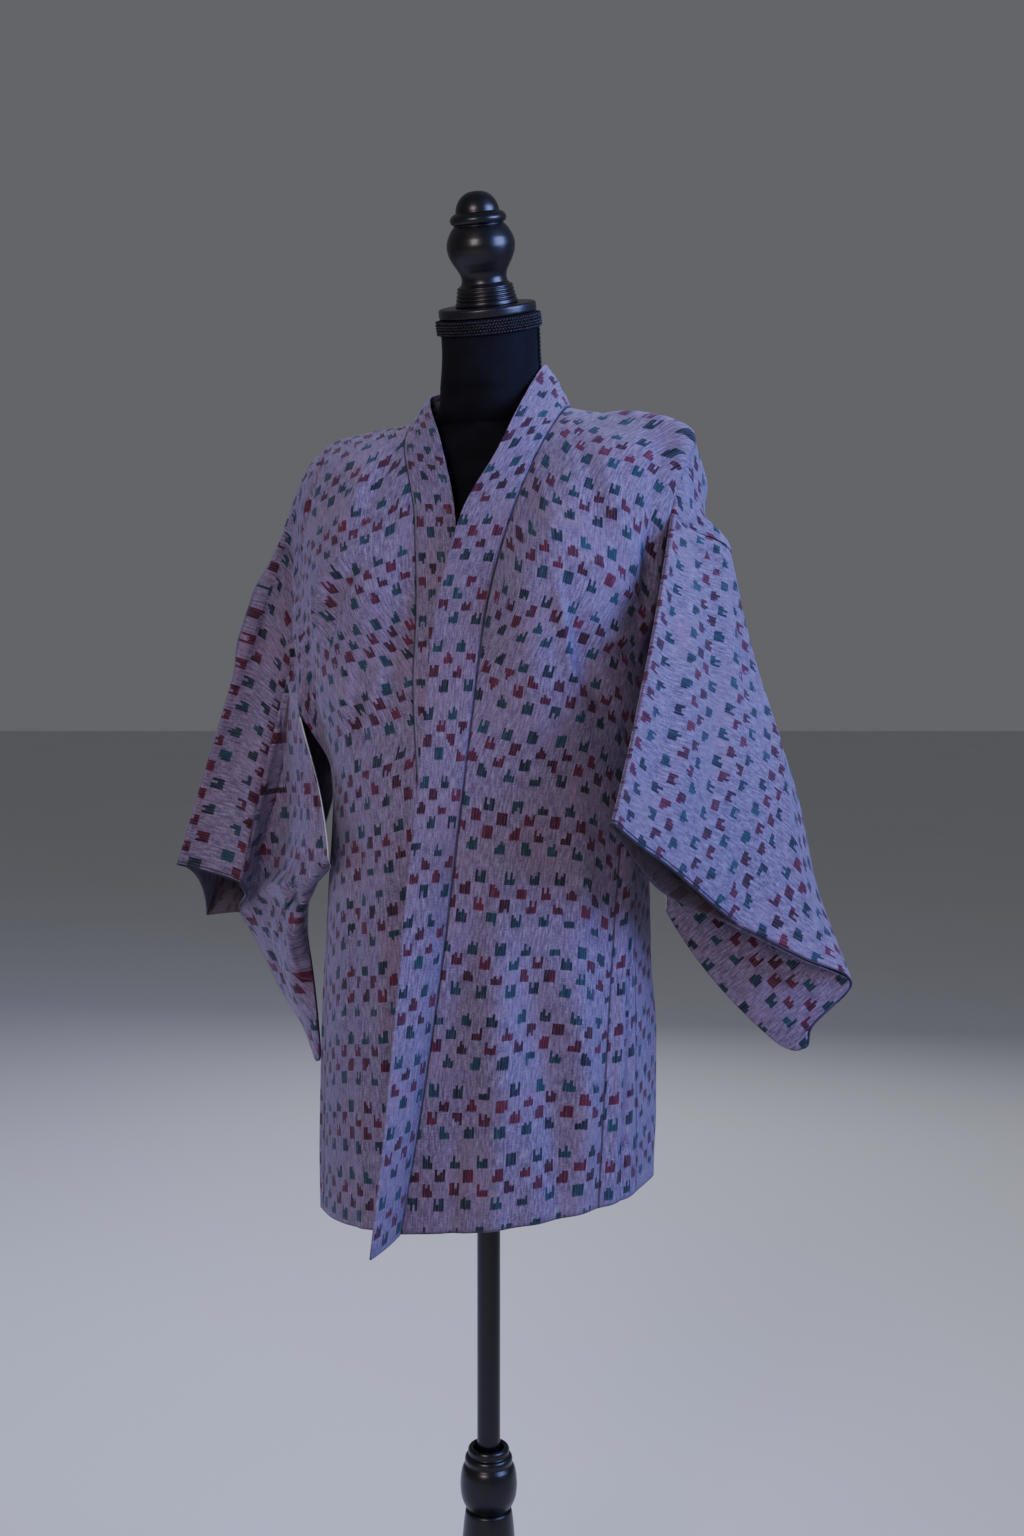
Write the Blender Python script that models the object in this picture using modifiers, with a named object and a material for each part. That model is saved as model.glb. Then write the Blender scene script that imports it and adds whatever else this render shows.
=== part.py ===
"""A haori jacket hanging on a limbless dress form, modelled as its cut pieces of cloth.

Metres, +Z up.  The origin is on the floor, on the axis of the stand, and the form faces -Y,
so +X is the wearer's left.  Every cloth piece is a grid of points (across, along) worked out
from the tables below, made into a wall by a Solidify modifier.  Tables give one row for each
section of the cloth, and the points in between come from a smooth curve through the rows.
"""

import math
from collections import namedtuple

import bpy
import numpy as np

# ---------------------------------------------------------------- driving sizes
CLOTH_WALL = 0.0018
BAND_WALL = 0.0024
SEAM_GAP = 0.0003
ARMHOLE_GAP = 0.0009
# How far the right front lies behind the left one, at its band.
FRONT_LAP = 0.008
# The sleeve's edge steps off the body's wall by this much, in full between the middle two of
# these drops and not at all before the first or after the last.
SEAM_STEP = 0.0025
STEP_DROPS = (0.005, 0.04, 0.26, 0.34)

SLEEVE_DROP = 0.49
ARMHOLE_DEPTH = 0.22
CORNER_RADIUS = 0.06
CORNER_ANGLES = (20, 40, 58, 75, 90)
SLEEVE_WIDTH = 0.34
# The radius of the rolled top fold, and the step between the two layers where they are sewn.
RIDGE_ROLL = 0.003
SEAM_LAY = 0.0031

HEM_HEIGHT = 0.574
HEM_RISE_TO_LEFT = 0.13
# The drop at which the inner edge of the cloth comes to the centre back, below the neck.
BACK_NECK_DROP = 0.030

NECK_TILT = math.radians(16)
NECK_RADIUS = 0.0505
NECK_TOP = (0.004, -0.012, 1.483)

POLE_RADIUS = 0.0122
TORSO_BOTTOM = 0.72
RUNNING_GAP = 0.0003

# ---------------------------------------------------------------- the hang of the body
# Plan ovals of the hanging cloth: half width, depth in front, depth behind.
Oval = namedtuple("Oval", "height half_width front back")
OVALS = (
    Oval(0.540, 0.174, 0.167, 0.142),
    Oval(0.700, 0.172, 0.163, 0.138),
    Oval(0.850, 0.170, 0.158, 0.136),
    Oval(1.000, 0.168, 0.150, 0.133),
    Oval(1.100, 0.168, 0.142, 0.130),
)

# Where the edges of each panel lie on the oval, as angles in degrees from the wearer's side:
# -90 is centre front and 90 is centre back.
Hang = namedtuple("Hang", "height band_seam front_side back_side")
HANG_LEFT = (
    Hang(None, -98.7, -31.0, -11.0),
    Hang(0.700, -91.0, -28.0, -10.0),
    Hang(0.850, -84.0, -23.0, -9.5),
    Hang(1.000, -78.7, -15.0, -6.0),
)
HANG_RIGHT = (
    Hang(None, -99.0, -31.0, -11.0),
    Hang(0.700, -93.0, -28.0, -10.0),
    Hang(0.850, -87.0, -23.0, -9.5),
    Hang(1.000, -84.0, -15.0, -6.0),
)

# The upper body, from the bust in front, over the shoulder, to the shoulder blade.  The last
# column of the cloth is the armhole edge, which is read from the sleeve at this drop.
# x is measured towards the wearer's own side, so both panels read alike.
Yoke = namedtuple("Yoke", "drop inner mid tip corner")
YOKE_LEFT = (
    Yoke(
        -0.220, (0.041, -0.136, 1.095), (0.095, -0.138, 1.095),
        (0.145, -0.104, 1.095), (0.171, -0.066, 1.095),
    ),
    Yoke(
        -0.140, (0.046, -0.120, 1.170), (0.088, -0.136, 1.180),
        (0.142, -0.112, 1.190), (0.174, -0.066, 1.182),
    ),
    Yoke(
        -0.070, (0.060, -0.088, 1.268), (0.108, -0.094, 1.275),
        (0.160, -0.073, 1.276), (0.190, -0.044, 1.262),
    ),
    Yoke(
        -0.010, (0.082, -0.024, 1.366), (0.130, -0.026, 1.358),
        (0.184, -0.018, 1.346), (0.209, -0.012, 1.320),
    ),
    Yoke(
        0.000, (0.086, 0.010, 1.385), (0.132, 0.013, 1.374),
        (0.190, 0.016, 1.362), (0.213, 0.004, 1.338),
    ),
    Yoke(
        0.010, (0.060, 0.060, 1.378), (0.122, 0.052, 1.364),
        (0.187, 0.046, 1.350), (0.220, 0.028, 1.324),
    ),
    Yoke(
        0.030, (0.000, 0.088, 1.371), (0.105, 0.082, 1.347),
        (0.180, 0.072, 1.330), (0.222, 0.047, 1.304),
    ),
    Yoke(
        0.070, (0.000, 0.108, 1.320), (0.085, 0.106, 1.308),
        (0.166, 0.094, 1.290), (0.204, 0.078, 1.262),
    ),
    Yoke(
        0.140, (0.000, 0.122, 1.235), (0.070, 0.124, 1.228),
        (0.148, 0.116, 1.215), (0.192, 0.105, 1.200),
    ),
    Yoke(
        0.220, (0.000, 0.130, 1.115), (0.075, 0.126, 1.110),
        (0.138, 0.114, 1.105), (0.178, 0.098, 1.108),
    ),
)
YOKE_RIGHT = (
    Yoke(
        -0.220, (0.026, -0.133, 1.095), (0.088, -0.134, 1.095),
        (0.142, -0.104, 1.095), (0.168, -0.072, 1.090),
    ),
    Yoke(
        -0.140, (0.030, -0.118, 1.165), (0.082, -0.132, 1.175),
        (0.142, -0.110, 1.185), (0.178, -0.070, 1.175),
    ),
    Yoke(
        -0.070, (0.046, -0.086, 1.268), (0.100, -0.092, 1.270),
        (0.158, -0.072, 1.270), (0.194, -0.046, 1.255),
    ),
    Yoke(
        -0.010, (0.084, -0.024, 1.358), (0.130, -0.026, 1.353),
        (0.182, -0.018, 1.342), (0.209, -0.014, 1.318),
    ),
    Yoke(
        0.000, (0.088, 0.010, 1.376), (0.134, 0.013, 1.371),
        (0.188, 0.016, 1.361), (0.216, 0.004, 1.330),
    ),
    Yoke(
        0.010, (0.060, 0.060, 1.374), (0.122, 0.052, 1.361),
        (0.184, 0.046, 1.347), (0.217, 0.030, 1.314),
    ),
    Yoke(
        0.030, (0.000, 0.088, 1.371), (0.105, 0.082, 1.346),
        (0.177, 0.072, 1.326), (0.214, 0.052, 1.293),
    ),
    Yoke(
        0.070, (0.000, 0.108, 1.320), (0.085, 0.106, 1.308),
        (0.166, 0.094, 1.288), (0.208, 0.080, 1.252),
    ),
    Yoke(
        0.140, (0.000, 0.122, 1.235), (0.070, 0.124, 1.228),
        (0.148, 0.116, 1.214), (0.194, 0.110, 1.190),
    ),
    Yoke(
        0.220, (0.000, 0.130, 1.115), (0.075, 0.126, 1.110),
        (0.138, 0.114, 1.105), (0.182, 0.104, 1.100),
    ),
)

# The free edge of the collar band, one row for each row of the panel's front and neck.
BAND_EDGE_LEFT = (
    (-0.032, -0.218, 0.563),
    (-0.018, -0.212, 0.700),
    (-0.010, -0.196, 0.850),
    (-0.008, -0.163, 1.000),
    (-0.007, -0.144, 1.095),
    (-0.003, -0.132, 1.172),
    (0.010, -0.100, 1.268),
    (0.046, -0.062, 1.358),
    (0.057, 0.018, 1.432),
    (0.042, 0.050, 1.432),
    (0.000, 0.064, 1.424),
)
BAND_EDGE_RIGHT = (
    (-0.080, -0.141, 0.574),
    (-0.062, -0.144, 0.700),
    (-0.045, -0.143, 0.850),
    (-0.033, -0.137, 1.000),
    (-0.026, -0.130, 1.095),
    (-0.018, -0.120, 1.165),
    (0.000, -0.090, 1.268),
    (0.034, -0.050, 1.352),
    (0.074, 0.018, 1.406),
    (0.046, 0.052, 1.416),
    (0.000, 0.064, 1.424),
)

# ---------------------------------------------------------------- the hang of the sleeves
# One row for each drop below the top fold: the point at the armhole, half way, and at the
# wrist.  The wrist is sewn shut below the cuff, so there the front layer has no point of its own.
Fall = namedtuple("Fall", "drop armhole middle wrist")
TOP_FOLD_LEFT = Fall(0.0, (0.208, -0.028, 1.270), (0.212, -0.125, 1.125), (0.205, -0.212, 0.980))
BACK_LAYER_LEFT = (
    Fall(0.11, (0.248, 0.045, 1.235), (0.262, -0.020, 1.082), (0.236, -0.112, 0.925)),
    Fall(0.22, (0.200, 0.098, 1.128), (0.292, 0.080, 1.030), (0.268, -0.012, 0.863)),
    Fall(0.30, (0.215, 0.100, 1.070), (0.305, 0.112, 0.955), (0.325, 0.035, 0.826)),
    Fall(0.36, (0.212, 0.090, 1.005), (0.302, 0.112, 0.895), (0.366, 0.067, 0.799)),
    Fall(0.42, (0.198, 0.072, 0.938), (0.278, 0.086, 0.838), (0.328, 0.045, 0.752)),
    Fall(0.49, (0.180, 0.046, 0.865), (0.240, 0.050, 0.785), (0.328, 0.032, 0.722)),
)
FRONT_LAYER_LEFT = (
    Fall(0.05, (0.196, -0.002, 1.250), (0.211, -0.100, 1.092), (0.204, -0.160, 0.950)),
    Fall(0.11, (0.188, -0.002, 1.196), (0.213, -0.074, 1.038), (0.210, -0.100, 0.912)),
    Fall(0.22, (0.181, -0.036, 1.088), (0.217, 0.004, 0.985), None),
    Fall(0.30, (0.184, -0.014, 1.012), (0.240, 0.042, 0.905), None),
    Fall(0.36, (0.186, 0.008, 0.963), (0.252, 0.050, 0.855), None),
    Fall(0.42, (0.184, 0.028, 0.915), (0.250, 0.048, 0.818), None),
)
TOP_FOLD_RIGHT = Fall(0.0, (0.250, 0.000, 1.250), (0.300, -0.025, 1.080), (0.346, -0.053, 0.899))
BACK_LAYER_RIGHT = (
    Fall(0.11, (0.262, 0.085, 1.195), (0.318, 0.070, 1.030), (0.362, 0.035, 0.830)),
    Fall(0.22, (0.208, 0.110, 1.118), (0.312, 0.112, 0.955), (0.312, 0.022, 0.838)),
    Fall(0.30, (0.214, 0.108, 1.050), (0.304, 0.100, 0.888), (0.300, 0.048, 0.796)),
    Fall(0.36, (0.216, 0.080, 0.990), (0.288, 0.088, 0.842), (0.280, 0.058, 0.750)),
    Fall(0.42, (0.214, 0.034, 0.930), (0.250, 0.052, 0.795), (0.240, 0.040, 0.712)),
    Fall(0.49, (0.198, -0.048, 0.863), (0.194, -0.025, 0.784), (0.182, -0.024, 0.662)),
)
FRONT_LAYER_RIGHT = (
    Fall(0.07, (0.218, -0.012, 1.178), (0.242, -0.022, 1.043), (0.272, -0.045, 0.880)),
    Fall(0.12, (0.206, -0.034, 1.138), (0.250, -0.002, 1.000), (0.280, -0.020, 0.866)),
    Fall(0.22, (0.180, -0.084, 1.074), (0.215, -0.030, 0.960), None),
    Fall(0.30, (0.150, -0.098, 1.000), (0.188, -0.076, 0.894), None),
    Fall(0.36, (0.120, -0.132, 0.930), (0.215, -0.045, 0.855), None),
    Fall(0.42, (0.150, -0.075, 0.905), (0.210, -0.050, 0.815), None),
)

# ---------------------------------------------------------------- the dress form
# Rings of the padded torso: height, centre in y, half width, depth in front and behind, and
# how square the ring is (2 is an ellipse).
Ring = namedtuple("Ring", "height centre half_width front back square")
TORSO_RINGS = (
    Ring(0.720, 0.000, 0.118, 0.088, 0.098, 2.2),
    Ring(0.732, 0.000, 0.133, 0.100, 0.112, 2.2),
    Ring(0.800, 0.000, 0.146, 0.108, 0.120, 2.2),
    Ring(0.890, 0.000, 0.138, 0.104, 0.108, 2.2),
    Ring(1.000, 0.000, 0.112, 0.092, 0.086, 2.2),
    Ring(1.070, 0.000, 0.118, 0.100, 0.090, 2.3),
    Ring(1.140, 0.000, 0.134, 0.108, 0.102, 2.4),
    Ring(1.200, 0.000, 0.144, 0.104, 0.110, 2.5),
    Ring(1.260, 0.006, 0.156, 0.084, 0.100, 2.5),
    Ring(1.310, 0.012, 0.178, 0.066, 0.080, 2.5),
    Ring(1.338, 0.014, 0.192, 0.054, 0.066, 1.9),
    Ring(1.353, 0.015, 0.190, 0.0515, 0.056, 1.4),
    Ring(1.3612, 0.015, 0.178, 0.0465, 0.052, 1.25),
    Ring(1.3690, 0.014, 0.122, 0.046, 0.050, 0.95),
    Ring(1.3745, 0.010, 0.082, 0.046, 0.048, 1.2),
    Ring(1.384, 0.006, 0.060, 0.047, 0.047, 1.7),
    Ring(1.405, 0.003, 0.0525, 0.0495, 0.0485, 2.0),
)
NECK_RINGS = 4

# Turned profiles, top to bottom, as (radius, height).
FINIAL_PROFILE = (
    (0.0, 0.1152),
    (0.0060, 0.1146),
    (0.0135, 0.1114),
    (0.0193, 0.1049),
    (0.0222, 0.0975),
    (0.0228, 0.0941),
    (0.0262, 0.0923),
    (0.0290, 0.0891),
    (0.0292, 0.0855),
    (0.0268, 0.0824),
    (0.0258, 0.0811),
    (0.0312, 0.0738),
    (0.0344, 0.0667),
    (0.0355, 0.0603),
    (0.0344, 0.0527),
    (0.0314, 0.0453),
    (0.0272, 0.0379),
    (0.0244, 0.0324),
    (0.0235, 0.0277),
    (0.0244, 0.0230),
    (0.0274, 0.0194),
    (0.0292, 0.0176),
    (0.0282, 0.0158),
    (0.0300, 0.0130),
    (0.0289, 0.0122),
    (0.0307, 0.0094),
    (0.0296, 0.0086),
    (0.0315, 0.0058),
    (0.0305, 0.0050),
    (0.0325, 0.0018),
    (0.0325, 0.0000),
    (0.0, 0.0000),
)
HUB_PROFILE = (
    (0.0, 0.2860),
    (0.0150, 0.2860),
    (0.0160, 0.2996),
    (0.0186, 0.3012),
    (0.0212, 0.2990),
    (0.0217, 0.2942),
    (0.0212, 0.2926),
    (0.0238, 0.2912),
    (0.0250, 0.2866),
    (0.0244, 0.2836),
    (0.0270, 0.2800),
    (0.0291, 0.2712),
    (0.0298, 0.2612),
    (0.0290, 0.2516),
    (0.0264, 0.2434),
    (0.0232, 0.2378),
    (0.0222, 0.2360),
    (0.0, 0.2360),
)
FOOT_PROFILE = (
    (0.0, 0.2357),
    (0.0236, 0.2357),
    (0.0242, 0.2340),
    (0.0278, 0.2035),
    (0.0330, 0.1640),
    (0.0420, 0.1240),
    (0.0570, 0.0880),
    (0.0800, 0.0600),
    (0.1100, 0.0420),
    (0.1380, 0.0330),
    (0.1560, 0.0270),
    (0.1636, 0.0200),
    (0.1650, 0.0120),
    (0.1650, 0.0040),
    (0.1620, 0.0),
    (0.0, 0.0),
)
CAP_RADIUS = 0.051
CAP_THICKNESS = 0.0105
CAP_BEVEL = 0.0025
TRIM_INNER = 0.0512
TRIM_OUTER = 0.0552
TRIM_HEIGHT = 0.0145
TRIM_SINK = 0.001
BEAD_START = 0.35

BEAD_STEPS = 5
AROUND = 28
SCREW_MERGE = 0.00005
GUSSET_SWELL = 0.10


# ---------------------------------------------------------------- curves and surfaces
def smooth_curve(stations, points, at, start_slope=None):
    """Points at the stations `at` of a smooth curve through `points`.

    Each span is a cubic.  Its end slopes are harmonic means of the chords beside them, and nil
    where the chords turn back, so the curve never swings past its own points.
    """
    stations = np.asarray(stations, float)
    points = np.asarray(points, float)
    at = np.asarray(at, float)
    steps = np.diff(stations)
    chords = np.diff(points, axis=0) / steps[:, None]
    slopes = np.zeros_like(points)
    slopes[0] = chords[0] if start_slope is None else start_slope
    slopes[-1] = chords[-1]
    before = steps[:-1, None] + 2 * steps[1:, None]
    after = 2 * steps[:-1, None] + steps[1:, None]
    same_way = chords[:-1] * chords[1:] > 0
    blend = before * chords[1:] + after * chords[:-1]
    product = (before + after) * chords[:-1] * chords[1:]
    np.divide(product, blend, out=slopes[1:-1], where=same_way)
    span = np.clip(np.searchsorted(stations, at, side="right") - 1, 0, len(steps) - 1)
    length = steps[span][:, None]
    t = (at - stations[span])[:, None] / length
    return (
        (2 * t**3 - 3 * t**2 + 1) * points[span]
        + (t**3 - 2 * t**2 + t) * length * slopes[span]
        + (3 * t**2 - 2 * t**3) * points[span + 1]
        + (t**3 - t**2) * length * slopes[span + 1]
    )


def unit(vectors):
    return vectors / np.linalg.norm(vectors, axis=-1, keepdims=True)


def oval_point(height, angle):
    """The point of the hanging body at this height and angle (degrees)."""
    heights = [oval.height for oval in OVALS]
    half_width = np.interp(height, heights, [oval.half_width for oval in OVALS])
    front = np.interp(height, heights, [oval.front for oval in OVALS])
    back = np.interp(height, heights, [oval.back for oval in OVALS])
    turn = math.radians(angle)
    depth = front if turn < 0 else back
    return np.array((half_width * math.cos(turn), depth * math.sin(turn), height))


# ---------------------------------------------------------------- sleeves
class Sleeve:
    """One strip of cloth folded at the top: `drop` is negative on the front layer."""

    def __init__(self, top_fold, front, back):
        self.top_fold = top_fold
        self.front = front + (back[-1],)
        self.back = back

    def seam_lay(self, column, row):
        """Half the step from the back layer to the front one where they are sewn together."""
        sewn = np.array(getattr(row, column))
        if column == "wrist" and row.drop < SLEEVE_DROP:
            seam = [other for other in self.back if other.drop >= ARMHOLE_DEPTH]
            place = seam.index(row)
            along = np.subtract(seam[place + 1].wrist, seam[max(place - 1, 0)].wrist)
            inner = [
                min(layer, key=lambda other: abs(other.drop - row.drop)).middle
                for layer in (self.front, self.back)
            ]
        else:
            along = np.subtract(row.wrist, row.armhole)
            name = "middle" if column == "wrist" else column
            inner = [getattr(layer[-2], name) for layer in (self.front, self.back)]
        along = unit(along)
        apart = unit(inner[0] - sewn) - unit(inner[1] - sewn)
        return unit(apart - along * np.dot(apart, along)) * SEAM_LAY / 2

    def layer(self, column, rows, side):
        """Drops and points of one column of one layer, below the rolled top fold."""
        sewn_rows = {row.drop: row for row in self.back}
        drops = []
        points = []
        for row in rows:
            point = getattr(row, column)
            if row.drop == SLEEVE_DROP or (column == "wrist" and row.drop >= ARMHOLE_DEPTH):
                sewn = sewn_rows[row.drop]
                point = np.array(getattr(sewn, column)) + side * self.seam_lay(column, sewn)
            drops.append(row.drop)
            points.append(np.array(point))
        return drops, points

    def fold_direction(self, name):
        """The way the top fold runs at one of its three columns."""
        armhole, middle, wrist = (np.array(point) for point in self.top_fold[1:])
        runs = {
            "armhole": 4 * middle - 3 * armhole - wrist,
            "middle": wrist - armhole,
            "wrist": armhole - 4 * middle + 3 * wrist,
        }
        return unit(runs[name])

    def column(self, name, at):
        """Points of one column at the drops `at`, negative on the front layer."""
        fold = np.array(getattr(self.top_fold, name))
        front_drops, front_points = self.layer(name, self.front, 1)
        back_drops, back_points = self.layer(name, self.back, -1)
        runs = self.fold_direction(name)
        toward_front = front_points[0] - fold
        toward_back = back_points[0] - fold
        toward_front = unit(toward_front - runs * np.dot(toward_front, runs))
        toward_back = unit(toward_back - runs * np.dot(toward_back, runs))
        down = unit(toward_front + toward_back)
        across = toward_back - toward_front
        across = unit(across - down * np.dot(across, down))
        quarter = RIDGE_ROLL * math.pi / 2
        turn = np.clip(at, -quarter, quarter) / RIDGE_ROLL
        result = (
            fold
            + RIDGE_ROLL * (1 - np.cos(turn))[:, None] * down
            + RIDGE_ROLL * np.sin(turn)[:, None] * across
        )
        layers = ((-1, front_drops, front_points), (1, back_drops, back_points))
        for side, drops, points in layers:
            start = fold + RIDGE_ROLL * down + side * RIDGE_ROLL * across
            beyond = side * at > quarter
            if beyond.any():
                result[beyond] = smooth_curve(
                    [quarter] + drops, [start] + points, side * at[beyond], start_slope=down
                )
        if name == "wrist":
            self.follow_wrist_seam(at, result)
        return result

    def follow_wrist_seam(self, at, result):
        """Below the cuff both layers keep to one seam line, a little to either side of it."""
        rows = [row for row in self.back if row.drop >= ARMHOLE_DEPTH]
        drops = [row.drop for row in rows]
        lays = [self.seam_lay("wrist", row) for row in rows]
        for side in (-1, 1):
            sewn = side * at >= ARMHOLE_DEPTH
            if sewn.any():
                seam = smooth_curve(drops, [row.wrist for row in rows], side * at[sewn])
                result[sewn] = seam - side * smooth_curve(drops, lays, side * at[sewn])

    def surface(self, fractions, at):
        """Points at (drop, fraction of the width): a parabola through the three columns."""
        armhole = self.column("armhole", at)[:, None]
        middle = self.column("middle", at)[:, None]
        wrist = self.column("wrist", at)[:, None]
        f = fractions[..., None]
        return (
            armhole * 2 * (f - 0.5) * (f - 1)
            + middle * 4 * f * (1 - f)
            + wrist * 2 * f * (f - 0.5)
        )


def corner_fraction(at):
    """How far the cloth reaches towards the wrist at each drop, with the rounded corner."""
    into = np.clip(np.abs(at) - (SLEEVE_DROP - CORNER_RADIUS), 0, CORNER_RADIUS)
    cut = CORNER_RADIUS - np.sqrt(CORNER_RADIUS**2 - into**2)
    return 1 - cut / SLEEVE_WIDTH


def half_armhole_drops():
    quarter = RIDGE_ROLL * math.pi / 2
    return np.concatenate(([0, quarter / 2, quarter], np.linspace(0.02, ARMHOLE_DEPTH, 9)))


def mirrored(drops):
    return np.concatenate((-drops[:0:-1], drops))


def sleeve_drops():
    """Rows of the sleeve: those of the armhole, then evenly, then by angle round the corner."""
    open_edge = np.linspace(ARMHOLE_DEPTH, SLEEVE_DROP - CORNER_RADIUS, 7)[1:]
    corner = SLEEVE_DROP - CORNER_RADIUS * (1 - np.sin(np.radians(CORNER_ANGLES)))
    return mirrored(np.concatenate((half_armhole_drops(), open_edge, corner)))


def squared(vectors, axis):
    """Unit vectors along `vectors`, made square to the unit vectors `axis`."""
    return unit(vectors - axis * (vectors * axis).sum(axis=1, keepdims=True))


def sleeve_grid(sleeve, panel, columns=9):
    """The sleeve's points, from just clear of the armhole edge to the wrist.

    The gap at the armhole grows with the turn between the body panel and the sleeve, and the
    sleeve's edge steps a little to the side it hangs on, so that the two walls stay apart.
    """
    drops = sleeve_drops()
    fractions = corner_fraction(drops)[:, None] * np.linspace(0, 1, columns)
    grid = sleeve.surface(fractions, drops)
    edge = grid[:, 0].copy()
    runs = unit(np.gradient(edge, drops, axis=0))
    away = squared(grid[:, 1] - edge, runs)
    sewn = np.abs(drops) <= ARMHOLE_DEPTH + 1e-9
    panel_end = panel.surface(PANEL_ACROSS[-2:], panel.armhole_stations())
    arrives = away.copy()
    arrives[sewn] = squared(panel_end[:, 1] - panel_end[:, 0], runs[sewn])
    cosine = np.clip((arrives * away).sum(axis=1), -0.8, 1)
    sine = np.sqrt(1 - cosine**2)
    lean = np.where(cosine > 0, sine, (1 - cosine) / np.maximum(sine, 0.1))
    grid[:, 0] = edge + away * (ARMHOLE_GAP + CLOTH_WALL / 2 * lean)[:, None]
    outward = unit(np.cross(arrives, runs))
    outward *= (outward * away).sum(axis=1)[:, None]
    share = np.interp(np.abs(drops), STEP_DROPS, (0.0, 1.0, 1.0, 0.0))
    grid[:, 0] += outward * (SEAM_STEP * share)[:, None]
    return grid


# ---------------------------------------------------------------- body panels
TRUNK_SPREAD = (0.0, 0.30, 0.60, 0.82, 1.0)
ACROSS_STATIONS = (0.0, 0.28, 0.60, 0.80, 1.0)
PANEL_ACROSS = np.linspace(0, 1, 10)


class Panel:
    """Front and back of one side, cut as one length of cloth over the shoulder."""

    def __init__(self, side, hang, yoke, sleeve, lap):
        self.side = side
        self.sleeve = sleeve
        self.yoke = yoke
        front = [self.trunk_row(row, row.band_seam, row.front_side, lap) for row in hang]
        back = [self.trunk_row(row, 90.0, row.back_side, 0.0) for row in reversed(hang)]
        edge = sleeve.column("armhole", np.array([row.drop for row in yoke]))
        upper = [
            np.array((row.inner, row.mid, row.tip, row.corner, tuple(armhole)))
            for row, armhole in zip(yoke, edge)
        ]
        self.rows = np.array(front + upper + back)
        self.neck_row = len(front) + [row.drop for row in yoke].index(BACK_NECK_DROP)
        self.rows[self.neck_row :, 0, 0] = SEAM_GAP / 2
        lengths = np.linalg.norm(np.diff(self.rows[:, 1], axis=0), axis=1)
        self.along = np.concatenate(([0], np.cumsum(lengths)))
        self.front_rows = len(front)
        self.armhole_along = self.along[len(front) : len(front) + len(yoke)]

    def trunk_row(self, row, inner, outer, lap):
        """Five points across the panel, evenly by angle round the oval."""
        points = []
        for share in TRUNK_SPREAD:
            angle = inner + (outer - inner) * share
            height = row.height
            if height is None:
                x = OVALS[0].half_width * math.cos(math.radians(angle))
                height = HEM_HEIGHT + HEM_RISE_TO_LEFT * x * self.side
            point = oval_point(height, angle)
            point[1] += lap * (1 - share) ** 0.5
            points.append(point)
        return points

    def armhole_stations(self):
        """Places along the panel that match the rows of the sleeve's armhole."""
        drops = mirrored(half_armhole_drops())
        return np.interp(drops, [row.drop for row in self.yoke], self.armhole_along)

    def stations(self, per_span=3):
        front = self.along[: self.front_rows + 1]
        back = self.along[-self.front_rows - 1 :]
        pieces = [np.linspace(a, b, per_span, endpoint=False) for a, b in zip(front, front[1:])]
        pieces.append(self.armhole_stations())
        pieces += [np.linspace(a, b, per_span + 1)[1:] for a, b in zip(back, back[1:])]
        return np.concatenate(pieces)

    def surface(self, across, along):
        """Points of the panel, smooth along the cloth and then across it."""
        columns = [
            smooth_curve(self.along, self.rows[:, k], along) for k in range(len(ACROSS_STATIONS))
        ]
        first, last = self.armhole_along[0], self.armhole_along[-1]
        at_armhole = (along >= first - 1e-9) & (along <= last + 1e-9)
        drops = np.interp(along, self.armhole_along, [row.drop for row in self.yoke])
        columns[-1][at_armhole] = self.sleeve.column("armhole", drops[at_armhole])
        rows = np.array(columns)
        start_slope = (rows[1] - rows[0]) / ACROSS_STATIONS[1]
        centre_back = along > self.along[self.neck_row - 1]
        start_slope[centre_back, 1:] = 0.0
        flat = rows.reshape(len(ACROSS_STATIONS), -1)
        grid = smooth_curve(ACROSS_STATIONS, flat, across, start_slope.reshape(-1))
        return grid.reshape(len(across), len(along), 3).transpose(1, 0, 2)


def gusset_grid(panel, columns=4):
    """The narrow strip between the front's and the back's side edges, up to the armhole."""
    rows = 3 * (panel.front_rows - 1) + 1
    edges = panel.surface(np.array((1.0,)), panel.stations())[:, 0]
    front = edges[:rows]
    back = edges[::-1][:rows]
    width = np.linalg.norm(back - front, axis=1)[:, None]
    inset = SEAM_GAP / width
    share = inset + (1 - 2 * inset) * np.linspace(0, 1, columns)[None, :]
    swell = GUSSET_SWELL * width * 4 * share * (1 - share)
    share = share[..., None]
    outward = np.array((1.0, 0.0, 0.0))
    return front[:, None] * (1 - share) + back[:, None] * share + swell[..., None] * outward


def band_half(panel, edge, columns=5):
    """The collar band from one hem to the centre back: seam on the panel, then the free edge."""
    rows = panel.neck_row + 1
    stations = panel.stations()
    stations = stations[stations <= panel.along[rows - 1] + 1e-9]
    inner = panel.surface(np.array((0.0, 0.02)), stations)
    seam = inner[:, 0]
    free = smooth_curve(panel.along[:rows], np.array(edge), stations)
    toward_free = unit(free - seam)
    past_edge = unit(seam - inner[:, 1])
    cosine = np.clip((toward_free * past_edge).sum(axis=1), 0, 1)
    gap = SEAM_GAP + CLOTH_WALL / 2 * np.sqrt(1 - cosine**2)
    start = seam + toward_free * gap[:, None]
    share = np.linspace(0, 1, columns)[None, :, None]
    return start[:, None] * (1 - share) + free[:, None] * share


def facing(grid, side):
    """The grid as it lies in the world: the right side is mirrored in x."""
    return grid * np.array((side, 1.0, 1.0))


def band_grid(left_panel, right_panel):
    """The whole band, from the left hem round the neck to the right hem."""
    left = facing(band_half(left_panel, BAND_EDGE_LEFT), 1)
    right = facing(band_half(right_panel, BAND_EDGE_RIGHT), -1)
    middle = (left[-1:] + right[-1:]) / 2
    return np.concatenate((left[:-1], middle, right[-2::-1]))


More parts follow.
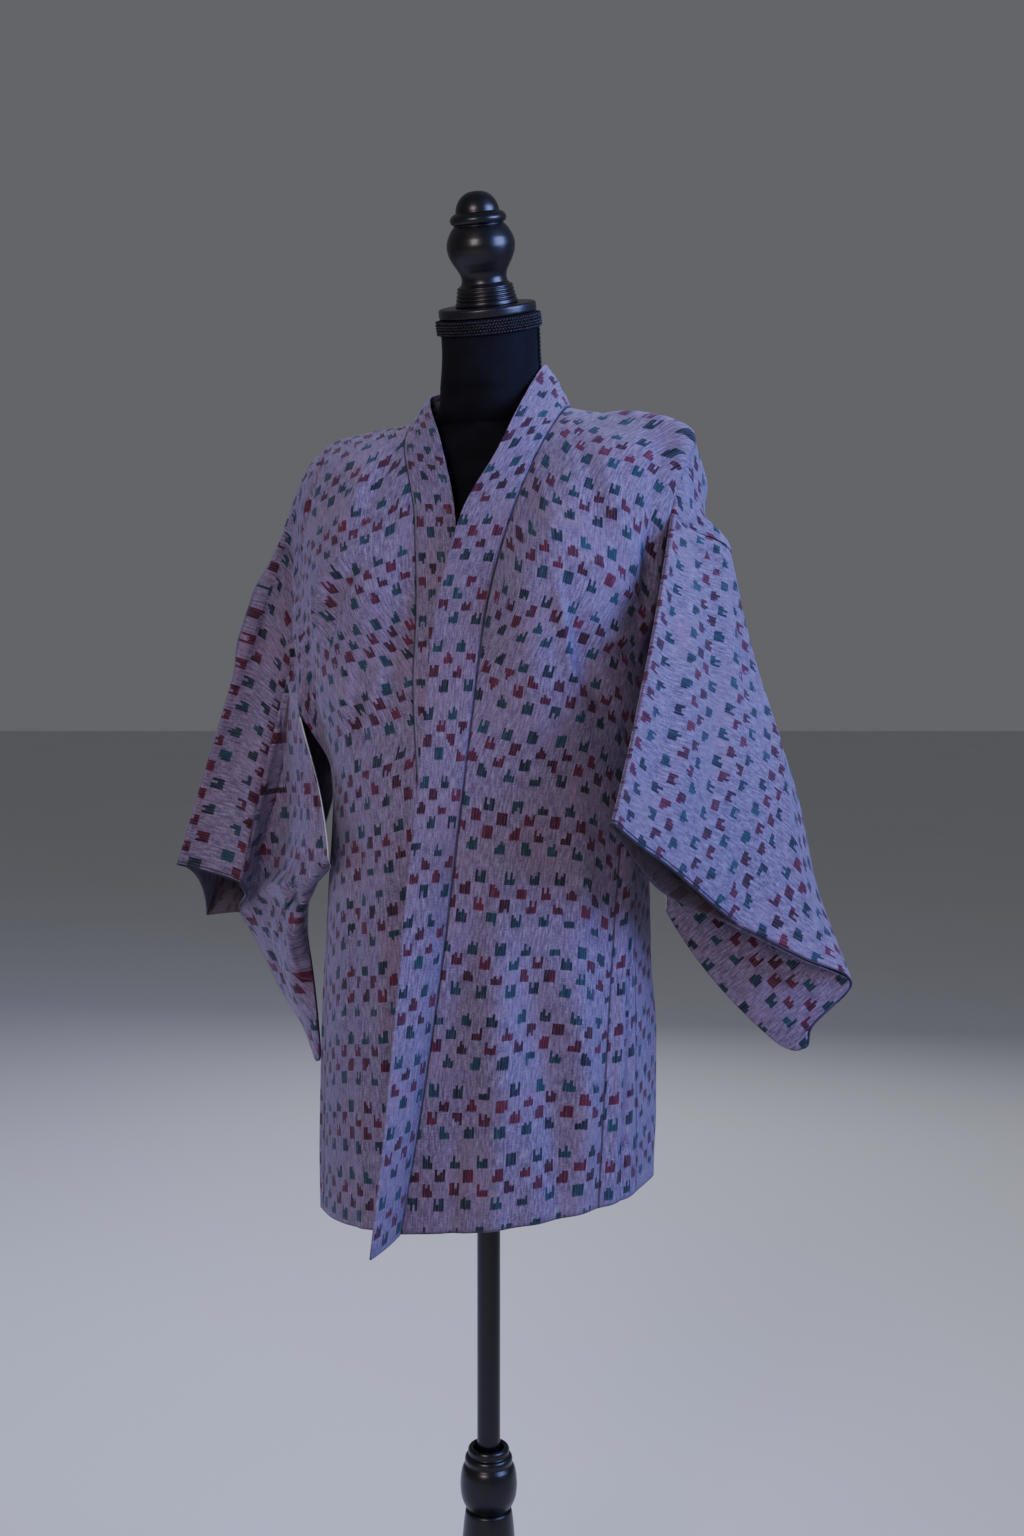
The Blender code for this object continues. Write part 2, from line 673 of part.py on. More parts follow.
# ---------------------------------------------------------------- Blender objects
def clear_scene():
    for obj in list(bpy.data.objects):
        bpy.data.objects.remove(obj, do_unlink=True)


def material(name, colour, roughness, metallic=0.0):
    made = bpy.data.materials.new(name)
    made.use_nodes = True
    shader = made.node_tree.nodes["Principled BSDF"]
    shader.inputs["Base Color"].default_value = (*colour, 1.0)
    shader.inputs["Roughness"].default_value = roughness
    shader.inputs["Metallic"].default_value = metallic
    return made


def add_object(name, mesh, finish, collection):
    obj = bpy.data.objects.new(name, mesh)
    mesh.materials.append(finish)
    collection.objects.link(obj)
    return obj


def grid_faces(rows, columns, wrap=False):
    """Quads of a grid of points, closed round each row when `wrap` is set."""
    spans = columns if wrap else columns - 1
    row, column = np.meshgrid(np.arange(rows - 1), np.arange(spans), indexing="ij")
    beside = (column + 1) % columns
    corners = (
        row * columns + column,
        row * columns + beside,
        (row + 1) * columns + beside,
        (row + 1) * columns + column,
    )
    return np.stack(corners, axis=-1).reshape(-1, 4).tolist()


def cloth_piece(name, grid, wall, finish, collection):
    """A wall of cloth with the grid of points in its middle."""
    rows, columns, _ = grid.shape
    mesh = bpy.data.meshes.new(name)
    mesh.from_pydata(grid.reshape(-1, 3).tolist(), [], grid_faces(rows, columns))
    mesh.shade_smooth()
    obj = add_object(name, mesh, finish, collection)
    solidify = obj.modifiers.new("wall", "SOLIDIFY")
    solidify.thickness = wall
    solidify.offset = 0.0
    return obj


def turned_piece(name, profile, finish, collection, closed=False):
    """A turned shape: the profile of (radius, height), spun round Z by a Screw modifier."""
    points = [(radius, 0.0, height) for radius, height in profile]
    edges = [(k, k + 1) for k in range(len(points) - 1)]
    if closed:
        edges.append((len(points) - 1, 0))
    mesh = bpy.data.meshes.new(name)
    mesh.from_pydata(points, edges, [])
    obj = add_object(name, mesh, finish, collection)
    screw = obj.modifiers.new("turning", "SCREW")
    screw.steps = AROUND
    screw.render_steps = AROUND
    screw.use_merge_vertices = True
    screw.merge_threshold = SCREW_MERGE
    return obj


def ring_points(ring, turns):
    """The points of one torso ring, a squared ellipse deeper in front or behind."""
    power = 2 / ring.square
    cosine = np.cos(turns)
    sine = np.sin(turns)
    depth = np.where(sine < 0, ring.front, ring.back)
    x = ring.half_width * np.sign(cosine) * np.abs(cosine) ** power
    y = ring.centre + depth * np.sign(sine) * np.abs(sine) ** power
    return np.stack((x, y, np.full_like(x, ring.height)), axis=1)


def neck_ring(share, turns):
    """A round ring of the neck, tilting forward as the neck rises."""
    base = TORSO_RINGS[-1]
    foot = np.array((0.0, base.centre, base.height))
    up = np.array((0.0, -math.sin(NECK_TILT), math.cos(NECK_TILT)))
    top = np.array(NECK_TOP)
    bend = top - up * (top[2] - foot[2]) / 2
    centre = foot * (1 - share) ** 2 + bend * 2 * share * (1 - share) + top * share**2
    radius = base.half_width + (NECK_RADIUS - base.half_width) * min(1.0, share * 2)
    tilt = NECK_TILT * share
    inward = np.array((0.0, math.cos(tilt), math.sin(tilt)))
    sideways = np.array((1.0, 0.0, 0.0))
    return centre + radius * (
        np.cos(turns)[:, None] * sideways + np.sin(turns)[:, None] * inward
    )


def add_torso(finish, collection):
    turns = np.linspace(0, 2 * math.pi, AROUND, endpoint=False)
    rings = [ring_points(ring, turns) for ring in TORSO_RINGS]
    rings += [neck_ring(k / NECK_RINGS, turns) for k in range(1, NECK_RINGS + 1)]
    points = np.concatenate(rings)
    faces = grid_faces(len(rings), AROUND, wrap=True)
    faces.append(list(range(AROUND))[::-1])
    faces.append(list(range(len(points) - AROUND, len(points))))
    mesh = bpy.data.meshes.new("form_torso")
    mesh.from_pydata(points.tolist(), [], faces)
    mesh.shade_smooth()
    return add_object("form_torso", mesh, finish, collection)


def add_cylinder(name, radius, bottom, top, finish, collection):
    bpy.ops.mesh.primitive_cylinder_add(
        vertices=AROUND, radius=radius, depth=top - bottom, location=(0, 0, (bottom + top) / 2)
    )
    obj = bpy.context.active_object
    obj.name = name
    obj.data.name = name
    obj.data.materials.append(finish)
    for owner in list(obj.users_collection):
        owner.objects.unlink(obj)
    collection.objects.link(obj)
    return obj


def trim_profile():
    """Two round beads, one above the other, on a flat inner side."""
    bead = TRIM_HEIGHT / 4
    depth = TRIM_OUTER - TRIM_INNER
    profile = [(TRIM_INNER, 0.0)]
    for centre in (-bead, -3 * bead):
        for k in range(1, BEAD_STEPS):
            turn = math.pi * k / BEAD_STEPS
            radius = TRIM_INNER + depth * (BEAD_START + (1 - BEAD_START) * math.sin(turn))
            profile.append((radius, centre + bead * math.cos(turn)))
    profile.append((TRIM_INNER, -TRIM_HEIGHT))
    return profile


def on_neck(obj, rise):
    """Stands a piece on the tilted top of the neck, `rise` above it along the tilted axis."""
    up = np.array((0.0, -math.sin(NECK_TILT), math.cos(NECK_TILT)))
    obj.location = np.array(NECK_TOP) + rise * up
    obj.rotation_euler = (NECK_TILT, 0.0, 0.0)


def build_form(collection):
    velvet = material("black_velvet", (0.010, 0.010, 0.014), 0.75)
    gimp = material("black_gimp", (0.012, 0.012, 0.018), 0.6)
    lacquer = material("black_lacquer", (0.008, 0.008, 0.010), 0.22)
    steel = material("black_steel", (0.015, 0.015, 0.018), 0.3, 0.6)
    add_torso(velvet, collection)
    trim = turned_piece("neck_trim", trim_profile(), gimp, collection, closed=True)
    on_neck(trim, -TRIM_SINK)
    cap = add_cylinder("neck_cap", CAP_RADIUS, 0.0, CAP_THICKNESS, lacquer, collection)
    bevel = cap.modifiers.new("soft edge", "BEVEL")
    bevel.width = CAP_BEVEL
    bevel.segments = 2
    on_neck(cap, RUNNING_GAP + CAP_THICKNESS / 2)
    finial = turned_piece("finial", FINIAL_PROFILE, lacquer, collection)
    on_neck(finial, 2 * RUNNING_GAP + CAP_THICKNESS)
    recess = HUB_PROFILE[0][1]
    add_cylinder(
        "pole", POLE_RADIUS, recess + RUNNING_GAP, TORSO_BOTTOM - RUNNING_GAP, steel, collection
    )
    turned_piece("base_hub", HUB_PROFILE, lacquer, collection)
    turned_piece("base_foot", FOOT_PROFILE, lacquer, collection)


def build_jacket(collection):
    cloth = material("kasuri_cloth", (0.24, 0.20, 0.33), 0.85)
    band_cloth = material("band_cloth", (0.26, 0.22, 0.37), 0.85)
    sleeves = {
        1: Sleeve(TOP_FOLD_LEFT, FRONT_LAYER_LEFT, BACK_LAYER_LEFT),
        -1: Sleeve(TOP_FOLD_RIGHT, FRONT_LAYER_RIGHT, BACK_LAYER_RIGHT),
    }
    panels = {
        1: Panel(1, HANG_LEFT, YOKE_LEFT, sleeves[1], 0.0),
        -1: Panel(-1, HANG_RIGHT, YOKE_RIGHT, sleeves[-1], FRONT_LAP),
    }
    for side, word in ((1, "left"), (-1, "right")):
        panel = panels[side]
        grids = {
            "body_panel_" + word: panel.surface(PANEL_ACROSS, panel.stations()),
            "gusset_" + word: gusset_grid(panel),
            "sleeve_" + word: sleeve_grid(sleeves[side], panel),
        }
        for name, grid in grids.items():
            cloth_piece(name, facing(grid, side), CLOTH_WALL, cloth, collection)
    band = band_grid(panels[1], panels[-1])
    cloth_piece("collar_band", band, BAND_WALL, band_cloth, collection)


def main():
    clear_scene()
    collection = bpy.data.collections.new("haori_on_dress_form")
    bpy.context.scene.collection.children.link(collection)
    build_form(collection)
    build_jacket(collection)


main()
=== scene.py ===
"""A haori jacket hanging on a limbless dress form: the looks of every piece.

Metres, +Z up, the form faces -Y and the wearer's left is +X.  The cloth pieces are grids of
points worked out from tables, one row for each section of the cloth, with smooth curves between
the rows; folds and creases are then pressed into each piece in its own flat sizes.
"""

import math
from collections import namedtuple

import bpy
import numpy as np
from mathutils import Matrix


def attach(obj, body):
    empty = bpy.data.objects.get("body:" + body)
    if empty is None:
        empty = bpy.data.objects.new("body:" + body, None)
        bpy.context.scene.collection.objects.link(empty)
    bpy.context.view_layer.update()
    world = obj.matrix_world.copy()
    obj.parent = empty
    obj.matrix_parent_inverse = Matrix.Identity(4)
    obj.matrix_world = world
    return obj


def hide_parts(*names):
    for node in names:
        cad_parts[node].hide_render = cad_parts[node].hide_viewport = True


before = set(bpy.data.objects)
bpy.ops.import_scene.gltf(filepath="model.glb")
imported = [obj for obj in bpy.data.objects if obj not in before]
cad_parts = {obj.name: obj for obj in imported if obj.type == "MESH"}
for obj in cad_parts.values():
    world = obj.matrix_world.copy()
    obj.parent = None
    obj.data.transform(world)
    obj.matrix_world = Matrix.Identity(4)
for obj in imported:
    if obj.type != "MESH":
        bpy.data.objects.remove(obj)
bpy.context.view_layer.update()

bl_info = {
    "name": "Haori on a dress form",
    "version": (1, 0, 0),
    "blender": (4, 5, 0),
    "location": "View3D > Sidebar > Haori",
    "description": "Makes the cloth pieces, the dress form and its stand, and the studio",
    "category": "Add Mesh",
}


# ---------------- driving sizes
CLOTH_WALL = 0.0018
SEAM_GAP = 0.0003
ARMHOLE_GAP = 0.0003
# How far the right front lies behind the left one, at its band.
FRONT_LAP = 0.008
# The sleeve's edge steps off the body's wall by this much, in full between the middle two of
# these drops and not at all before the first or after the last.
SEAM_STEP = 0.0012
STEP_DROPS = (0.005, 0.04, 0.26, 0.34)

SLEEVE_DROP = 0.49
ARMHOLE_DEPTH = 0.22
CORNER_RADIUS = 0.06
CORNER_ANGLES = (20, 40, 58, 75, 90)
SLEEVE_WIDTH = 0.34
# The radius of the rolled top fold, and the step between the two layers where they are sewn.
RIDGE_ROLL = 0.003
SEAM_LAY = 0.0031

HEM_HEIGHT = 0.574
HEM_RISE_TO_LEFT = 0.13
# The drop at which the inner edge of the cloth comes to the centre back, below the neck.
BACK_NECK_DROP = 0.030

NECK_TILT = math.radians(16)
NECK_RADIUS = 0.0505
NECK_TOP = (0.004, -0.012, 1.483)

POLE_RADIUS = 0.0122
TORSO_BOTTOM = 0.72
RUNNING_GAP = 0.0003


# ---------------- the hang of the body
# Plan ovals of the hanging cloth: half width, depth in front, depth behind.
Oval = namedtuple("Oval", "height half_width front back")
OVALS = (
    Oval(0.540, 0.174, 0.167, 0.142),
    Oval(0.700, 0.172, 0.163, 0.138),
    Oval(0.850, 0.170, 0.158, 0.136),
    Oval(1.000, 0.168, 0.150, 0.133),
    Oval(1.100, 0.168, 0.142, 0.130),
)

# Where the edges of each panel lie on the oval, as angles in degrees from the wearer's side:
# -90 is centre front and 90 is centre back.
Hang = namedtuple("Hang", "height band_seam front_side back_side")
HANG_LEFT = (
    Hang(None, -98.7, -31.0, -11.0),
    Hang(0.700, -91.0, -28.0, -10.0),
    Hang(0.850, -84.0, -23.0, -9.5),
    Hang(1.000, -78.7, -15.0, -6.0),
)
HANG_RIGHT = (
    Hang(None, -99.0, -31.0, -11.0),
    Hang(0.700, -93.0, -28.0, -10.0),
    Hang(0.850, -87.0, -23.0, -9.5),
    Hang(1.000, -84.0, -15.0, -6.0),
)

# The upper body, from the bust in front, over the shoulder, to the shoulder blade.  The last
# column of the cloth is the armhole edge, which is read from the sleeve at this drop.
# x is measured towards the wearer's own side, so both panels read alike.
Yoke = namedtuple("Yoke", "drop inner mid tip corner")
YOKE_LEFT = (
    Yoke(-0.220, (0.041, -0.136, 1.095), (0.095, -0.138, 1.095),
         (0.145, -0.104, 1.095), (0.171, -0.066, 1.095)),
    Yoke(-0.140, (0.046, -0.120, 1.170), (0.088, -0.136, 1.180),
         (0.142, -0.112, 1.190), (0.174, -0.066, 1.182)),
    Yoke(-0.070, (0.060, -0.088, 1.268), (0.108, -0.094, 1.275),
         (0.160, -0.073, 1.276), (0.190, -0.044, 1.262)),
    Yoke(-0.010, (0.082, -0.024, 1.366), (0.130, -0.026, 1.358),
         (0.184, -0.018, 1.346), (0.209, -0.012, 1.320)),
    Yoke(0.000, (0.086, 0.010, 1.385), (0.132, 0.013, 1.374),
         (0.190, 0.016, 1.362), (0.213, 0.004, 1.338)),
    Yoke(0.010, (0.060, 0.060, 1.378), (0.122, 0.052, 1.364),
         (0.187, 0.046, 1.350), (0.220, 0.028, 1.324)),
    Yoke(0.030, (0.000, 0.088, 1.371), (0.105, 0.082, 1.347),
         (0.180, 0.072, 1.330), (0.222, 0.047, 1.304)),
    Yoke(0.070, (0.000, 0.108, 1.320), (0.085, 0.106, 1.308),
         (0.166, 0.094, 1.290), (0.204, 0.078, 1.262)),
    Yoke(0.140, (0.000, 0.122, 1.235), (0.070, 0.124, 1.228),
         (0.148, 0.116, 1.215), (0.192, 0.105, 1.200)),
    Yoke(0.220, (0.000, 0.130, 1.115), (0.075, 0.126, 1.110),
         (0.138, 0.114, 1.105), (0.178, 0.098, 1.108)),
)
YOKE_RIGHT = (
    Yoke(-0.220, (0.026, -0.133, 1.095), (0.088, -0.134, 1.095),
         (0.142, -0.104, 1.095), (0.168, -0.072, 1.090)),
    Yoke(-0.140, (0.030, -0.118, 1.165), (0.082, -0.132, 1.175),
         (0.142, -0.110, 1.185), (0.178, -0.070, 1.175)),
    Yoke(-0.070, (0.046, -0.086, 1.268), (0.100, -0.092, 1.270),
         (0.158, -0.072, 1.270), (0.194, -0.046, 1.255)),
    Yoke(-0.010, (0.084, -0.024, 1.358), (0.130, -0.026, 1.353),
         (0.182, -0.018, 1.342), (0.209, -0.014, 1.318)),
    Yoke(0.000, (0.088, 0.010, 1.376), (0.134, 0.013, 1.371),
         (0.188, 0.016, 1.361), (0.216, 0.004, 1.330)),
    Yoke(0.010, (0.060, 0.060, 1.374), (0.122, 0.052, 1.361),
         (0.184, 0.046, 1.347), (0.217, 0.030, 1.314)),
    Yoke(0.030, (0.000, 0.088, 1.371), (0.105, 0.082, 1.346),
         (0.177, 0.072, 1.326), (0.214, 0.052, 1.293)),
    Yoke(0.070, (0.000, 0.108, 1.320), (0.085, 0.106, 1.308),
         (0.166, 0.094, 1.288), (0.208, 0.080, 1.252)),
    Yoke(0.140, (0.000, 0.122, 1.235), (0.070, 0.124, 1.228),
         (0.148, 0.116, 1.214), (0.194, 0.110, 1.190)),
    Yoke(0.220, (0.000, 0.130, 1.115), (0.075, 0.126, 1.110),
         (0.138, 0.114, 1.105), (0.182, 0.104, 1.100)),
)

# The free edge of the collar band, one row for each row of the panel's front and neck.
BAND_EDGE_LEFT = (
    (-0.032, -0.218, 0.563),
    (-0.018, -0.212, 0.700),
    (-0.010, -0.196, 0.850),
    (-0.008, -0.163, 1.000),
    (-0.007, -0.144, 1.095),
    (-0.003, -0.132, 1.172),
    (0.010, -0.100, 1.268),
    (0.046, -0.062, 1.358),
    (0.057, 0.018, 1.432),
    (0.042, 0.050, 1.432),
    (0.000, 0.064, 1.424),
)
BAND_EDGE_RIGHT = (
    (-0.080, -0.141, 0.574),
    (-0.062, -0.144, 0.700),
    (-0.045, -0.143, 0.850),
    (-0.033, -0.137, 1.000),
    (-0.026, -0.130, 1.095),
    (-0.018, -0.120, 1.165),
    (0.000, -0.090, 1.268),
    (0.034, -0.050, 1.352),
    (0.074, 0.018, 1.406),
    (0.046, 0.052, 1.416),
    (0.000, 0.064, 1.424),
)


# ---------------- the hang of the sleeves
# One row for each drop below the top fold: the point at the armhole, half way, and at the
# wrist.  The wrist is sewn shut below the cuff, so there the front layer has no point of its own.
Fall = namedtuple("Fall", "drop armhole middle wrist")
TOP_FOLD_LEFT = Fall(0.0, (0.208, -0.028, 1.270), (0.212, -0.125, 1.125), (0.205, -0.212, 0.980))
BACK_LAYER_LEFT = (
    Fall(0.11, (0.248, 0.045, 1.235), (0.262, -0.020, 1.082), (0.236, -0.112, 0.925)),
    Fall(0.22, (0.200, 0.098, 1.128), (0.292, 0.080, 1.030), (0.268, -0.012, 0.863)),
    Fall(0.30, (0.215, 0.100, 1.070), (0.305, 0.112, 0.955), (0.325, 0.035, 0.826)),
    Fall(0.36, (0.212, 0.090, 1.005), (0.302, 0.112, 0.895), (0.366, 0.067, 0.799)),
    Fall(0.42, (0.198, 0.072, 0.938), (0.278, 0.086, 0.838), (0.328, 0.045, 0.752)),
    Fall(0.49, (0.180, 0.046, 0.865), (0.240, 0.050, 0.785), (0.328, 0.032, 0.722)),
)
FRONT_LAYER_LEFT = (
    Fall(0.05, (0.196, -0.002, 1.250), (0.211, -0.100, 1.092), (0.204, -0.160, 0.950)),
    Fall(0.11, (0.188, -0.002, 1.196), (0.213, -0.074, 1.038), (0.210, -0.100, 0.912)),
    Fall(0.22, (0.181, -0.036, 1.088), (0.217, 0.004, 0.985), None),
    Fall(0.30, (0.184, -0.014, 1.012), (0.240, 0.042, 0.905), None),
    Fall(0.36, (0.186, 0.008, 0.963), (0.252, 0.050, 0.855), None),
    Fall(0.42, (0.184, 0.028, 0.915), (0.250, 0.048, 0.818), None),
)
TOP_FOLD_RIGHT = Fall(0.0, (0.250, 0.000, 1.250), (0.300, -0.025, 1.080), (0.346, -0.053, 0.899))
BACK_LAYER_RIGHT = (
    Fall(0.11, (0.262, 0.085, 1.195), (0.318, 0.070, 1.030), (0.362, 0.035, 0.830)),
    Fall(0.22, (0.208, 0.110, 1.118), (0.312, 0.112, 0.955), (0.312, 0.022, 0.838)),
    Fall(0.30, (0.214, 0.108, 1.050), (0.304, 0.100, 0.888), (0.300, 0.048, 0.796)),
    Fall(0.36, (0.216, 0.080, 0.990), (0.288, 0.088, 0.842), (0.280, 0.058, 0.750)),
    Fall(0.42, (0.214, 0.034, 0.930), (0.250, 0.052, 0.795), (0.240, 0.040, 0.712)),
    Fall(0.49, (0.198, -0.048, 0.863), (0.194, -0.025, 0.784), (0.182, -0.024, 0.662)),
)
FRONT_LAYER_RIGHT = (
    Fall(0.07, (0.218, -0.012, 1.178), (0.242, -0.022, 1.043), (0.272, -0.045, 0.880)),
    Fall(0.12, (0.206, -0.034, 1.138), (0.250, -0.002, 1.000), (0.280, -0.020, 0.866)),
    Fall(0.22, (0.180, -0.084, 1.074), (0.215, -0.030, 0.960), None),
    Fall(0.30, (0.150, -0.098, 1.000), (0.188, -0.076, 0.894), None),
    Fall(0.36, (0.120, -0.132, 0.930), (0.215, -0.045, 0.855), None),
    Fall(0.42, (0.150, -0.075, 0.905), (0.210, -0.050, 0.815), None),
)


# ---------------- the dress form
# Rings of the padded torso: height, centre in y, half width, depth in front and behind, and
# how square the ring is (2 is an ellipse).
Ring = namedtuple("Ring", "height centre half_width front back square")
TORSO_RINGS = (
    Ring(0.720, 0.000, 0.118, 0.088, 0.098, 2.2),
    Ring(0.732, 0.000, 0.133, 0.100, 0.112, 2.2),
    Ring(0.800, 0.000, 0.146, 0.108, 0.120, 2.2),
    Ring(0.890, 0.000, 0.138, 0.104, 0.108, 2.2),
    Ring(1.000, 0.000, 0.112, 0.092, 0.086, 2.2),
    Ring(1.070, 0.000, 0.118, 0.100, 0.090, 2.3),
    Ring(1.140, 0.000, 0.134, 0.108, 0.102, 2.4),
    Ring(1.200, 0.000, 0.144, 0.104, 0.110, 2.5),
    Ring(1.260, 0.006, 0.156, 0.084, 0.100, 2.5),
    Ring(1.310, 0.012, 0.178, 0.066, 0.080, 2.5),
    Ring(1.338, 0.014, 0.192, 0.054, 0.066, 1.9),
    Ring(1.353, 0.015, 0.190, 0.0515, 0.056, 1.4),
    Ring(1.3612, 0.015, 0.178, 0.0465, 0.052, 1.25),
    Ring(1.3690, 0.014, 0.122, 0.046, 0.050, 0.95),
    Ring(1.3745, 0.010, 0.082, 0.046, 0.048, 1.2),
    Ring(1.384, 0.006, 0.060, 0.047, 0.047, 1.7),
    Ring(1.405, 0.003, 0.0525, 0.0495, 0.0485, 2.0),
)

CAP_THICKNESS = 0.0105
TRIM_INNER = 0.0512
TRIM_OUTER = 0.0552
TRIM_HEIGHT = 0.0145
TRIM_SINK = 0.001
GUSSET_SWELL = 0.10


# ---------------- curves and surfaces
def smooth_curve(stations, points, at, start_slope=None):
    """Points at the stations `at` of a smooth curve through `points`.

    Each span is a cubic.  Its end slopes are harmonic means of the chords beside them, and nil
    where the chords turn back, so the curve never swings past its own points.
    """
    stations = np.asarray(stations, float)
    points = np.asarray(points, float)
    at = np.asarray(at, float)
    steps = np.diff(stations)
    chords = np.diff(points, axis=0) / steps[:, None]
    slopes = np.zeros_like(points)
    slopes[0] = chords[0] if start_slope is None else start_slope
    slopes[-1] = chords[-1]
    before = steps[:-1, None] + 2 * steps[1:, None]
    after = 2 * steps[:-1, None] + steps[1:, None]
    same_way = chords[:-1] * chords[1:] > 0
    blend = before * chords[1:] + after * chords[:-1]
    product = (before + after) * chords[:-1] * chords[1:]
    np.divide(product, blend, out=slopes[1:-1], where=same_way)
    span = np.clip(np.searchsorted(stations, at, side="right") - 1, 0, len(steps) - 1)
    length = steps[span][:, None]
    t = (at - stations[span])[:, None] / length
    return (
        (2 * t**3 - 3 * t**2 + 1) * points[span]
        + (t**3 - 2 * t**2 + t) * length * slopes[span]
        + (3 * t**2 - 2 * t**3) * points[span + 1]
        + (t**3 - t**2) * length * slopes[span + 1]
    )


def unit(vectors):
    """Vectors scaled to length one, along the last axis."""
    return vectors / np.linalg.norm(vectors, axis=-1, keepdims=True)


def round_turns(count):
    """Angles of this many points evenly round a circle."""
    return np.linspace(0, math.tau, count, endpoint=False)


def oval_point(height, angle):
    """The point of the hanging body at this height and angle (degrees)."""
    heights = [oval.height for oval in OVALS]
    half_width = np.interp(height, heights, [oval.half_width for oval in OVALS])
    front = np.interp(height, heights, [oval.front for oval in OVALS])
    back = np.interp(height, heights, [oval.back for oval in OVALS])
    turn = math.radians(angle)
    depth = front if turn < 0 else back
    return np.array((half_width * math.cos(turn), depth * math.sin(turn), height))


# ---------------- sleeves
class Sleeve:
    """One strip of cloth folded at the top: `drop` is negative on the front layer."""

    def __init__(self, top_fold, front, back):
        self.top_fold = top_fold
        self.front = front + (back[-1],)
        self.back = back

    def seam_lay(self, column, row):
        """Half the step from the back layer to the front one where they are sewn together."""
        sewn = np.array(getattr(row, column))
        if column == "wrist" and row.drop < SLEEVE_DROP:
            seam = [other for other in self.back if other.drop >= ARMHOLE_DEPTH]
            place = seam.index(row)
            along = np.subtract(seam[place + 1].wrist, seam[max(place - 1, 0)].wrist)
            inner = [
                min(layer, key=lambda other: abs(other.drop - row.drop)).middle
                for layer in (self.front, self.back)
            ]
        else:
            along = np.subtract(row.wrist, row.armhole)
            name = "middle" if column == "wrist" else column
            inner = [getattr(layer[-2], name) for layer in (self.front, self.back)]
        along = unit(along)
        apart = unit(inner[0] - sewn) - unit(inner[1] - sewn)
        return unit(apart - along * np.dot(apart, along)) * SEAM_LAY / 2

    def layer(self, column, rows, side):
        """Drops and points of one column of one layer, below the rolled top fold."""
        sewn_rows = {row.drop: row for row in self.back}
        drops = []
        points = []
        for row in rows:
            point = getattr(row, column)
            if row.drop == SLEEVE_DROP or (column == "wrist" and row.drop >= ARMHOLE_DEPTH):
                sewn = sewn_rows[row.drop]
                point = np.array(getattr(sewn, column)) + side * self.seam_lay(column, sewn)
            drops.append(row.drop)
            points.append(np.array(point))
        return drops, points

    def fold_direction(self, name):
        """The way the top fold runs at one of its three columns."""
        armhole, middle, wrist = (np.array(point) for point in self.top_fold[1:])
        runs = {
            "armhole": 4 * middle - 3 * armhole - wrist,
            "middle": wrist - armhole,
            "wrist": armhole - 4 * middle + 3 * wrist,
        }
        return unit(runs[name])

    def column(self, name, at):
        """Points of one column at the drops `at`, negative on the front layer."""
        fold = np.array(getattr(self.top_fold, name))
        front_drops, front_points = self.layer(name, self.front, 1)
        back_drops, back_points = self.layer(name, self.back, -1)
        runs = self.fold_direction(name)
        toward_front = front_points[0] - fold
        toward_back = back_points[0] - fold
        toward_front = unit(toward_front - runs * np.dot(toward_front, runs))
        toward_back = unit(toward_back - runs * np.dot(toward_back, runs))
        down = unit(toward_front + toward_back)
        across = toward_back - toward_front
        across = unit(across - down * np.dot(across, down))
        quarter = RIDGE_ROLL * math.pi / 2
        turn = np.clip(at, -quarter, quarter) / RIDGE_ROLL
        result = (
            fold
            + RIDGE_ROLL * (1 - np.cos(turn))[:, None] * down
            + RIDGE_ROLL * np.sin(turn)[:, None] * across
        )
        layers = ((-1, front_drops, front_points), (1, back_drops, back_points))
        for side, drops, points in layers:
            start = fold + RIDGE_ROLL * down + side * RIDGE_ROLL * across
            beyond = side * at > quarter
            if beyond.any():
                result[beyond] = smooth_curve(
                    [quarter] + drops, [start] + points, side * at[beyond], start_slope=down
                )
        if name == "wrist":
            self.follow_wrist_seam(at, result)
        return result

    def follow_wrist_seam(self, at, result):
        """Below the cuff both layers keep to one seam line, a little to either side of it."""
        rows = [row for row in self.back if row.drop >= ARMHOLE_DEPTH]
        drops = [row.drop for row in rows]
        lays = [self.seam_lay("wrist", row) for row in rows]
        for side in (-1, 1):
            sewn = side * at >= ARMHOLE_DEPTH
            if sewn.any():
                seam = smooth_curve(drops, [row.wrist for row in rows], side * at[sewn])
                result[sewn] = seam - side * smooth_curve(drops, lays, side * at[sewn])

    def surface(self, fractions, at):
        """Points at (drop, fraction of the width): a parabola through the three columns."""
        armhole = self.column("armhole", at)[:, None]
        middle = self.column("middle", at)[:, None]
        wrist = self.column("wrist", at)[:, None]
        f = fractions[..., None]
        return (
            armhole * 2 * (f - 0.5) * (f - 1)
            + middle * 4 * f * (1 - f)
            + wrist * 2 * f * (f - 0.5)
        )


def corner_fraction(at):
    """How far the cloth reaches towards the wrist at each drop, with the rounded corner."""
    into = np.clip(np.abs(at) - (SLEEVE_DROP - CORNER_RADIUS), 0, CORNER_RADIUS)
    cut = CORNER_RADIUS - np.sqrt(CORNER_RADIUS**2 - into**2)
    return 1 - cut / SLEEVE_WIDTH


def half_armhole_drops():
    """The armhole's rows on one layer: round the rolled fold, then evenly."""
    quarter = RIDGE_ROLL * math.pi / 2
    return np.concatenate(([0, quarter / 2, quarter], np.linspace(0.02, ARMHOLE_DEPTH, 9)))


def mirrored(drops):
    """The drops of both layers, those of the front one negative."""
    return np.concatenate((-drops[:0:-1], drops))


def sleeve_drops():
    """Rows of the sleeve: those of the armhole, then evenly, then by angle round the corner."""
    open_edge = np.linspace(ARMHOLE_DEPTH, SLEEVE_DROP - CORNER_RADIUS, 7)[1:]
    corner = SLEEVE_DROP - CORNER_RADIUS * (1 - np.sin(np.radians(CORNER_ANGLES)))
    return mirrored(np.concatenate((half_armhole_drops(), open_edge, corner)))


